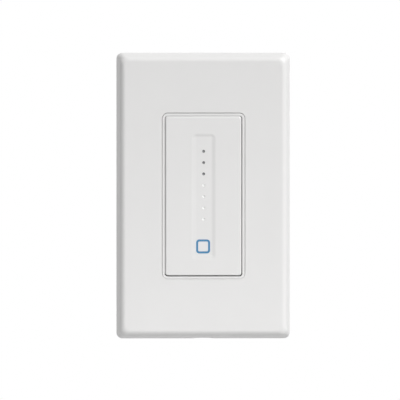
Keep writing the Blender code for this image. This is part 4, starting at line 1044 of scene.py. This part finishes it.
def screw_model(name, head, shank, pitch, sides=ROUND_STEPS, crossed=True):
    """Upright screw on the origin: domed head with its driver recess above, threaded shank below."""
    head_radius, head_height = head
    radius, length = shank
    rise = head_height * HEAD_SIDE
    piece = start(
        name, "cylinder", vertices=sides, radius=head_radius, depth=rise, location=(0.0, 0.0, rise / 2),
    )
    with shaping(piece):
        pick_facing(piece, 0, 0, 1)
        before, level = 1.0, rise
        for angle in map(math.radians, DOME_ANGLES):
            after, height = math.cos(angle), rise + (head_height - rise) * math.sin(angle)
            extrude(0.0, 0.0, height - level)
            share = after / before
            resize((share, share, 1.0), (0.0, 0.0, height))
            before, level = after, height
    tools = [recess("slot", (DRIVER_WIDTH, 2 * (head_radius + PAST)), head_height, DRIVER_DEPTH)]
    if crossed:
        arm = [head_radius * share for share in CROSS]
        for size in (arm, arm[::-1]):
            cross = recess("cross", size, head_height, CROSS_DEPTH)
            with shaping(cross):
                pick_facing(cross, 0, 0, -1)
                resize((CROSS_TAPER, CROSS_TAPER, 1.0), (0.0, 0.0, 0.0))
            tools.append(cross)
    cut(piece, *tools)
    soften(piece, SCREW_EDGE)
    depth = pitch * THREAD_DEPTH
    core = radius - depth
    tip = core * TIP[0]
    shaft = rod("shank", core, (0.0, 0.0, OVERLAP), (0.0, 0.0, tip - length), SMALL_ROUND)
    with shaping(shaft):
        pick_facing(shaft, 0, 0, -1)
        extrude(0.0, 0.0, -tip)
        resize((TIP[1], TIP[1], 1.0), (0.0, 0.0, -length))
    tools = [shaft]
    turns = int(length / pitch - THREAD_RUNOUT)
    if turns > 0:
        tools.append(thread(core, depth, pitch, turns, tip - length + pitch / 2))
    return add(piece, *tools)


def recess(name, size, top, share):
    """Cutter that sinks into a screw's head by a share of the head's height."""
    depth = top * share
    return bar(name, (*size, depth + PAST), (0.0, 0.0, top + (PAST - depth) / 2))


def thread(radius, depth, pitch, turns, low):
    """Ridge wound up a shank: a small diamond turned and lifted round the axis."""
    ridge = start(
        "thread", "circle", vertices=4, radius=depth, fill_type="NOTHING",
        location=(radius, 0.0, low), rotation=(math.pi / 2, 0.0, 0.0),
    )
    wind = ridge.modifiers.new("wind", "SCREW")
    wind.axis = "Z"
    wind.screw_offset = pitch
    wind.iterations = turns
    wind.steps = wind.render_steps = THREAD_STEPS
    apply_modifiers(ridge)
    with shaping(ridge):
        bpy.ops.mesh.remove_doubles(threshold=MERGE)
        pick_all()
        bpy.ops.mesh.fill_holes(sides=0)
        face_outward()
    return ridge


def strap_screws(zinc, green):
    """Screws to the wall box and to the tray, and the ground screw with its six-sided head."""
    for node, screw in (("mounting_screw", MOUNTING_SCREW), ("sub_plate_screw", TRAY_SCREW)):
        model = screw_model(f"{node}_model", *screw)
        for word in ("top", "bottom"):
            low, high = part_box(f"{node}_{word}")
            place = (0.0, low.y + screw[0][1], (low.z + high.z) / 2)
            piece = twin(model, f"{node}_turned_{word}", place, (math.pi / 2, 0.0, 0.0))
            seat(piece, "device", "zinc_screw", zinc, f"{node}_{word}")
        bpy.data.objects.remove(model, do_unlink=True)
    model = screw_model("ground_screw_turned", *GROUND_SCREW, 6, False)
    middle = middle_of("ground_screw")
    place = (middle.x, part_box("ground_screw")[1].y - GROUND_SCREW[0][1], middle.z)
    moved(model, place, (-math.pi / 2, 0.0, 0.0))
    seat(model, "device", "green_screw", green, "ground_screw")


def terminal_screws(zinc):
    """Screws of the clamps, with their heads outward on both sides."""
    model = screw_model("terminal_screw_model", *TERMINAL_SCREW)
    for number in range(1, 5):
        low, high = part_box(f"terminal_screw_{number}")
        middle = (low + high) / 2
        side = math.copysign(1.0, middle.x)
        place = (side * (max(abs(low.x), abs(high.x)) - TERMINAL_SCREW[0][1]), middle.y, middle.z)
        piece = twin(model, f"terminal_screw_turned_{number}", place, (0.0, side * math.pi / 2, 0.0))
        seat(piece, "device", "zinc_screw", zinc, f"terminal_screw_{number}")
    bpy.data.objects.remove(model, do_unlink=True)


# Pieces inside

def eased(node, name, width, slot, finish, body="device"):
    """Merged copy of a solid, with its edges rolled over by a width in millimetres."""
    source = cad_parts[node]
    piece = bpy.data.objects.new(name, source.data.copy())
    piece.data.name = name
    bpy.context.scene.collection.objects.link(piece)
    with shaping(piece):
        bpy.ops.mesh.remove_doubles(threshold=MERGE)
        bpy.ops.mesh.dissolve_limited(angle_limit=FLAT_ANGLE)
    soften(piece, width * MM)
    seat(piece, body, slot, finish, node)


def wound_choke():
    """Ring core with wire wound round it turn by turn."""
    low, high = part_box("choke")
    middle = (low + high) / 2
    reach = (high.x - low.x) / 2 - (high.y - low.y) / 2
    piece = start(
        "wound_choke", "torus", major_segments=64, minor_segments=24, major_radius=reach,
        minor_radius=CHOKE_CORE, location=middle, rotation=(math.pi / 2, 0.0, 0.0),
    )
    loop = start(
        "wire_turn", "torus", major_segments=28, minor_segments=8,
        major_radius=CHOKE_CORE + WIRE * WIRE_SINK, minor_radius=WIRE,
        location=middle + Vector((reach, 0.0, 0.0)),
    )
    with shaping(loop):
        bpy.ops.mesh.spin(
            steps=WIRE_TURNS - 1, dupli=True, angle=2 * math.pi * (WIRE_TURNS - 1) / WIRE_TURNS,
            center=middle, axis=(0.0, 1.0, 0.0),
        )
    add(piece, loop)

    def wire(x, y, z):
        around = ((x - middle.x) ** 2.0 + (z - middle.z) ** 2.0) ** 0.5 - reach
        return over((around ** 2.0 + (y - middle.y) ** 2.0) ** 0.5, CHOKE_CORE + 0.1 * WIRE)

    seat(piece, "device", "copper_winding", two_tone("wound_wire", wire, FERRITE, COPPER), "choke")


def inner_finishes():
    """Finish of each part on the boards, changing where the part's material changes."""
    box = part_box("power_transistor_left")
    leg, tab = box[0].z + LEG_LENGTH, box[1].z - TAB_LENGTH
    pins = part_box("board_header")[1].y - PIN_LENGTH
    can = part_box("radio_module")[0].y + RADIO_BOARD

    def ends(node, axis, length):
        """Region within a length of both ends of a node along one axis."""
        low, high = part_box(node)
        middle, reach = (low[axis] + high[axis]) / 2, (high[axis] - low[axis]) / 2 - length
        return lambda *place: over((place[axis] - middle).size(), reach)

    low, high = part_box("filter_capacitor")
    middle, radius = (low + high) / 2, (high.x - low.x) / 2 * CAN_END[1]

    def lid(x, y, z):
        away = ((x - middle.x) ** 2.0 + (z - middle.z) ** 2.0) ** 0.5
        return over(y, high.y - CAN_END[0]) * over(radius - away, 0.0)

    return {
        "transistor": two_tone(
            "power_package", lambda x, y, z: over(z, tab) + (1.0 - over(z, leg)), BLACK, TIN,
        ),
        "header": two_tone("pin_block", lambda x, y, z: 1.0 - over(y, pins), BLACK, GOLD),
        "fuse": two_tone("fuse_glass", ends("fuse", 0, CAP_LENGTH), GLASS, TIN),
        "transformer": two_tone("core_and_tape", ends("power_transformer", 2, CORE_END), CORE, TAPE),
        "radio": two_tone("shielded_module", lambda x, y, z: over(y, can), MASK, TIN),
        "capacitor": two_tone("sleeved_can", lid, SLEEVE, TIN),
    }


def inner_parts(zinc):
    """Boards, lamps, switch and power parts, each rounded off from its solid."""
    finishes = inner_finishes()
    black = textured("black_moulding", BLACK[0], 0.5)
    board = circuit("green_board", MASK[0])
    resin = guide("lamp_resin", LAMP_RESIN, DARK)
    pad = moulded("pad_rubber", PAD_GREY, 0.7).material
    for number in range(1, 5):
        eased(f"housing_screw_{number}", f"recessed_screw_{number}", 0.08, "zinc_screw", zinc)
    for number in list(range(1, 8)) + ["icon"]:
        eased(f"led_{number}", f"small_lamp_{number}", 0.12, "lamp", resin)
    for word in ("left", "right"):
        node, name = f"power_transistor_{word}", f"power_package_{word}"
        eased(node, name, 0.12, "black_plastic", finishes["transistor"])
    for node, name, width, slot, finish in (
        ("front_board", "touch_board", 0.08, "board", board),
        ("main_board", "power_board", 0.08, "board", board),
        ("radio_module", "shielded_radio", 0.12, "board", finishes["radio"]),
        ("light_baffle", "lamp_mask", 0.1, "black_plastic", black),
        ("tact_switch_body", "push_switch", 0.1, "black_plastic", black),
        ("tact_plunger", "push_button", 0.1, "black_plastic", black),
        ("board_header", "pin_block", 0.1, "black_plastic", finishes["header"]),
        ("power_transformer", "tape_wound_core", 0.25, "black_plastic", finishes["transformer"]),
        ("insulating_pad", "soft_pad", 0.12, "pad_rubber", pad),
        ("filter_capacitor", "sleeved_can", 0.2, "can_aluminium", finishes["capacitor"]),
        ("fuse", "capped_fuse", 0.15, "fuse_glass", finishes["fuse"]),
    ):
        eased(node, name, width, slot, finish, "plunger" if node == "tact_plunger" else "device")
    wound_choke()


# Floor, light and camera

def studio():
    """White air that lights softly, yet shows as pure white to the camera and in mirrored light."""
    bpy.context.scene.view_settings.view_transform = "Standard"
    world = bpy.data.worlds.new("studio_air")
    bpy.context.scene.world = world
    world.use_nodes = True
    nodes, links = world.node_tree.nodes, world.node_tree.links
    rays = nodes.new("ShaderNodeLightPath")
    seen = rays.outputs["Is Camera Ray"]
    for ray in ("Is Glossy Ray", "Is Transmission Ray"):
        either = nodes.new("ShaderNodeMath")
        either.operation = "MAXIMUM"
        links.new(seen, either.inputs[0])
        links.new(rays.outputs[ray], either.inputs[1])
        seen = either.outputs[0]
    level = nodes.new("ShaderNodeMapRange")
    links.new(seen, level.inputs["Value"])
    level.inputs["To Min"].default_value = AIR_LIGHT
    level.inputs["To Max"].default_value = 1.0
    sky = nodes["Background"]
    sky.inputs["Color"].default_value = (1.0, 1.0, 1.0, 1.0)
    links.new(level.outputs[0], sky.inputs["Strength"])


def lamp(name, toward, distance, size, watts, aim=(0.0, 0.0, 0.0), mirrored=False):
    """Round lamp that shines from a direction on a point."""
    light = bpy.data.lights.new(name, "AREA")
    light.shape = "DISK"
    light.size = size
    light.energy = watts
    thing = bpy.data.objects.new(name, light)
    bpy.context.scene.collection.objects.link(thing)
    thing.location = Vector(aim) + Vector(toward).normalized() * distance
    thing.rotation_euler = (Vector(aim) - thing.location).to_track_quat("-Z", "Y").to_euler()
    thing.visible_camera = False
    thing.visible_glossy = mirrored


def lights():
    lamp("key", KEY_TOWARD, distance=2.4, size=1.3, watts=43.6, mirrored=True)
    lamp("front_sheet", (0.0, -1.0, 0.0), distance=2.0, size=4.0, watts=3.0)
    lamp("low_fill", (0.0, -1.0, 0.0), distance=0.22, size=0.08, watts=0.141, aim=(0.0, 0.0, -125 * MM))
    lamp("back_fill", (0.1, 1.0, 0.12), distance=1.6, size=1.0, watts=10.0)


def floor():
    """Pale floor below the object, which shows as white and hides nothing from underneath."""
    ground = start("floor", "plane", size=2.0, location=(0.0, -0.3, FLOOR_Z))
    with shaping(ground):
        bpy.ops.mesh.subdivide(number_cuts=3)
    made = Finish("pale_floor", roughness=0.8)
    made.feed("Base Color", tint(FLOOR_GREY, 1.0))
    rays = made.tree.nodes.new("ShaderNodeLightPath")
    seen = Reading(made, rays.outputs["Is Camera Ray"])
    for ray in ("Is Glossy Ray", "Is Transmission Ray"):
        seen = seen.at_least(Reading(made, rays.outputs[ray]))
    made.feed("Emission Color", made.blend(seen, tint(DARK, 1.0), (1.0, 1.0, 1.0, 1.0)))
    made.feed("Emission Strength", FLOOR_GLOW)
    made.feed("Alpha", 1.0 - made.node("ShaderNodeNewGeometry", output="Backfacing"))
    ground.data.materials.append(made.material)


def camera():
    """Long lens almost square on to the plate."""
    data = bpy.data.cameras.new("camera")
    data.lens = LENS
    data.clip_start = 0.05
    data.clip_end = 50.0
    thing = bpy.data.objects.new("camera", data)
    bpy.context.scene.collection.objects.link(thing)
    distance = VIEW_WIDTH * LENS / data.sensor_width
    side, rise = CAMERA_SIDE, CAMERA_RISE
    toward = Vector((math.sin(side) * math.cos(rise), -math.cos(side) * math.cos(rise), math.sin(rise)))
    thing.location = CAMERA_MIDDLE + toward * distance
    thing.rotation_euler = (math.pi / 2 - rise, 0.0, side)
    bpy.context.scene.camera = thing


camera()
studio()
lights()
floor()
cover_plate(moulded("cover_white", WHITE, 0.36).material)
device_frame(moulded("device_frame_white", WHITE, 0.36).material)
press_panel(panel_white())
lit_square(guide("icon_blue", ICON_BLUE, ICON_GLOW))
light_dots(guide("dot_lit", DOT_WHITE, DOT_GLOW), guide("dot_dark", DOT_GREY, DARK))
snap_tray(moulded("sub_plate_white", TRAY_WHITE, 0.5, 0.008 * MM).material)
strap(bare_metal("strap_aluminium", ALUMINIUM, 0.42, (1.0, 1.0, 12.0)))
rear_box(textured("housing_grey", HOUSING_GREY, 0.55))
zinc = bare_metal("zinc_plate", ZINC, 0.3)
strap_screws(zinc, bare_metal("green_lacquer", GREEN_LACQUER, 0.35))
terminal_screws(zinc)
clamp_plates(bare_metal("brass", BRASS, 0.32))
inner_parts(zinc)
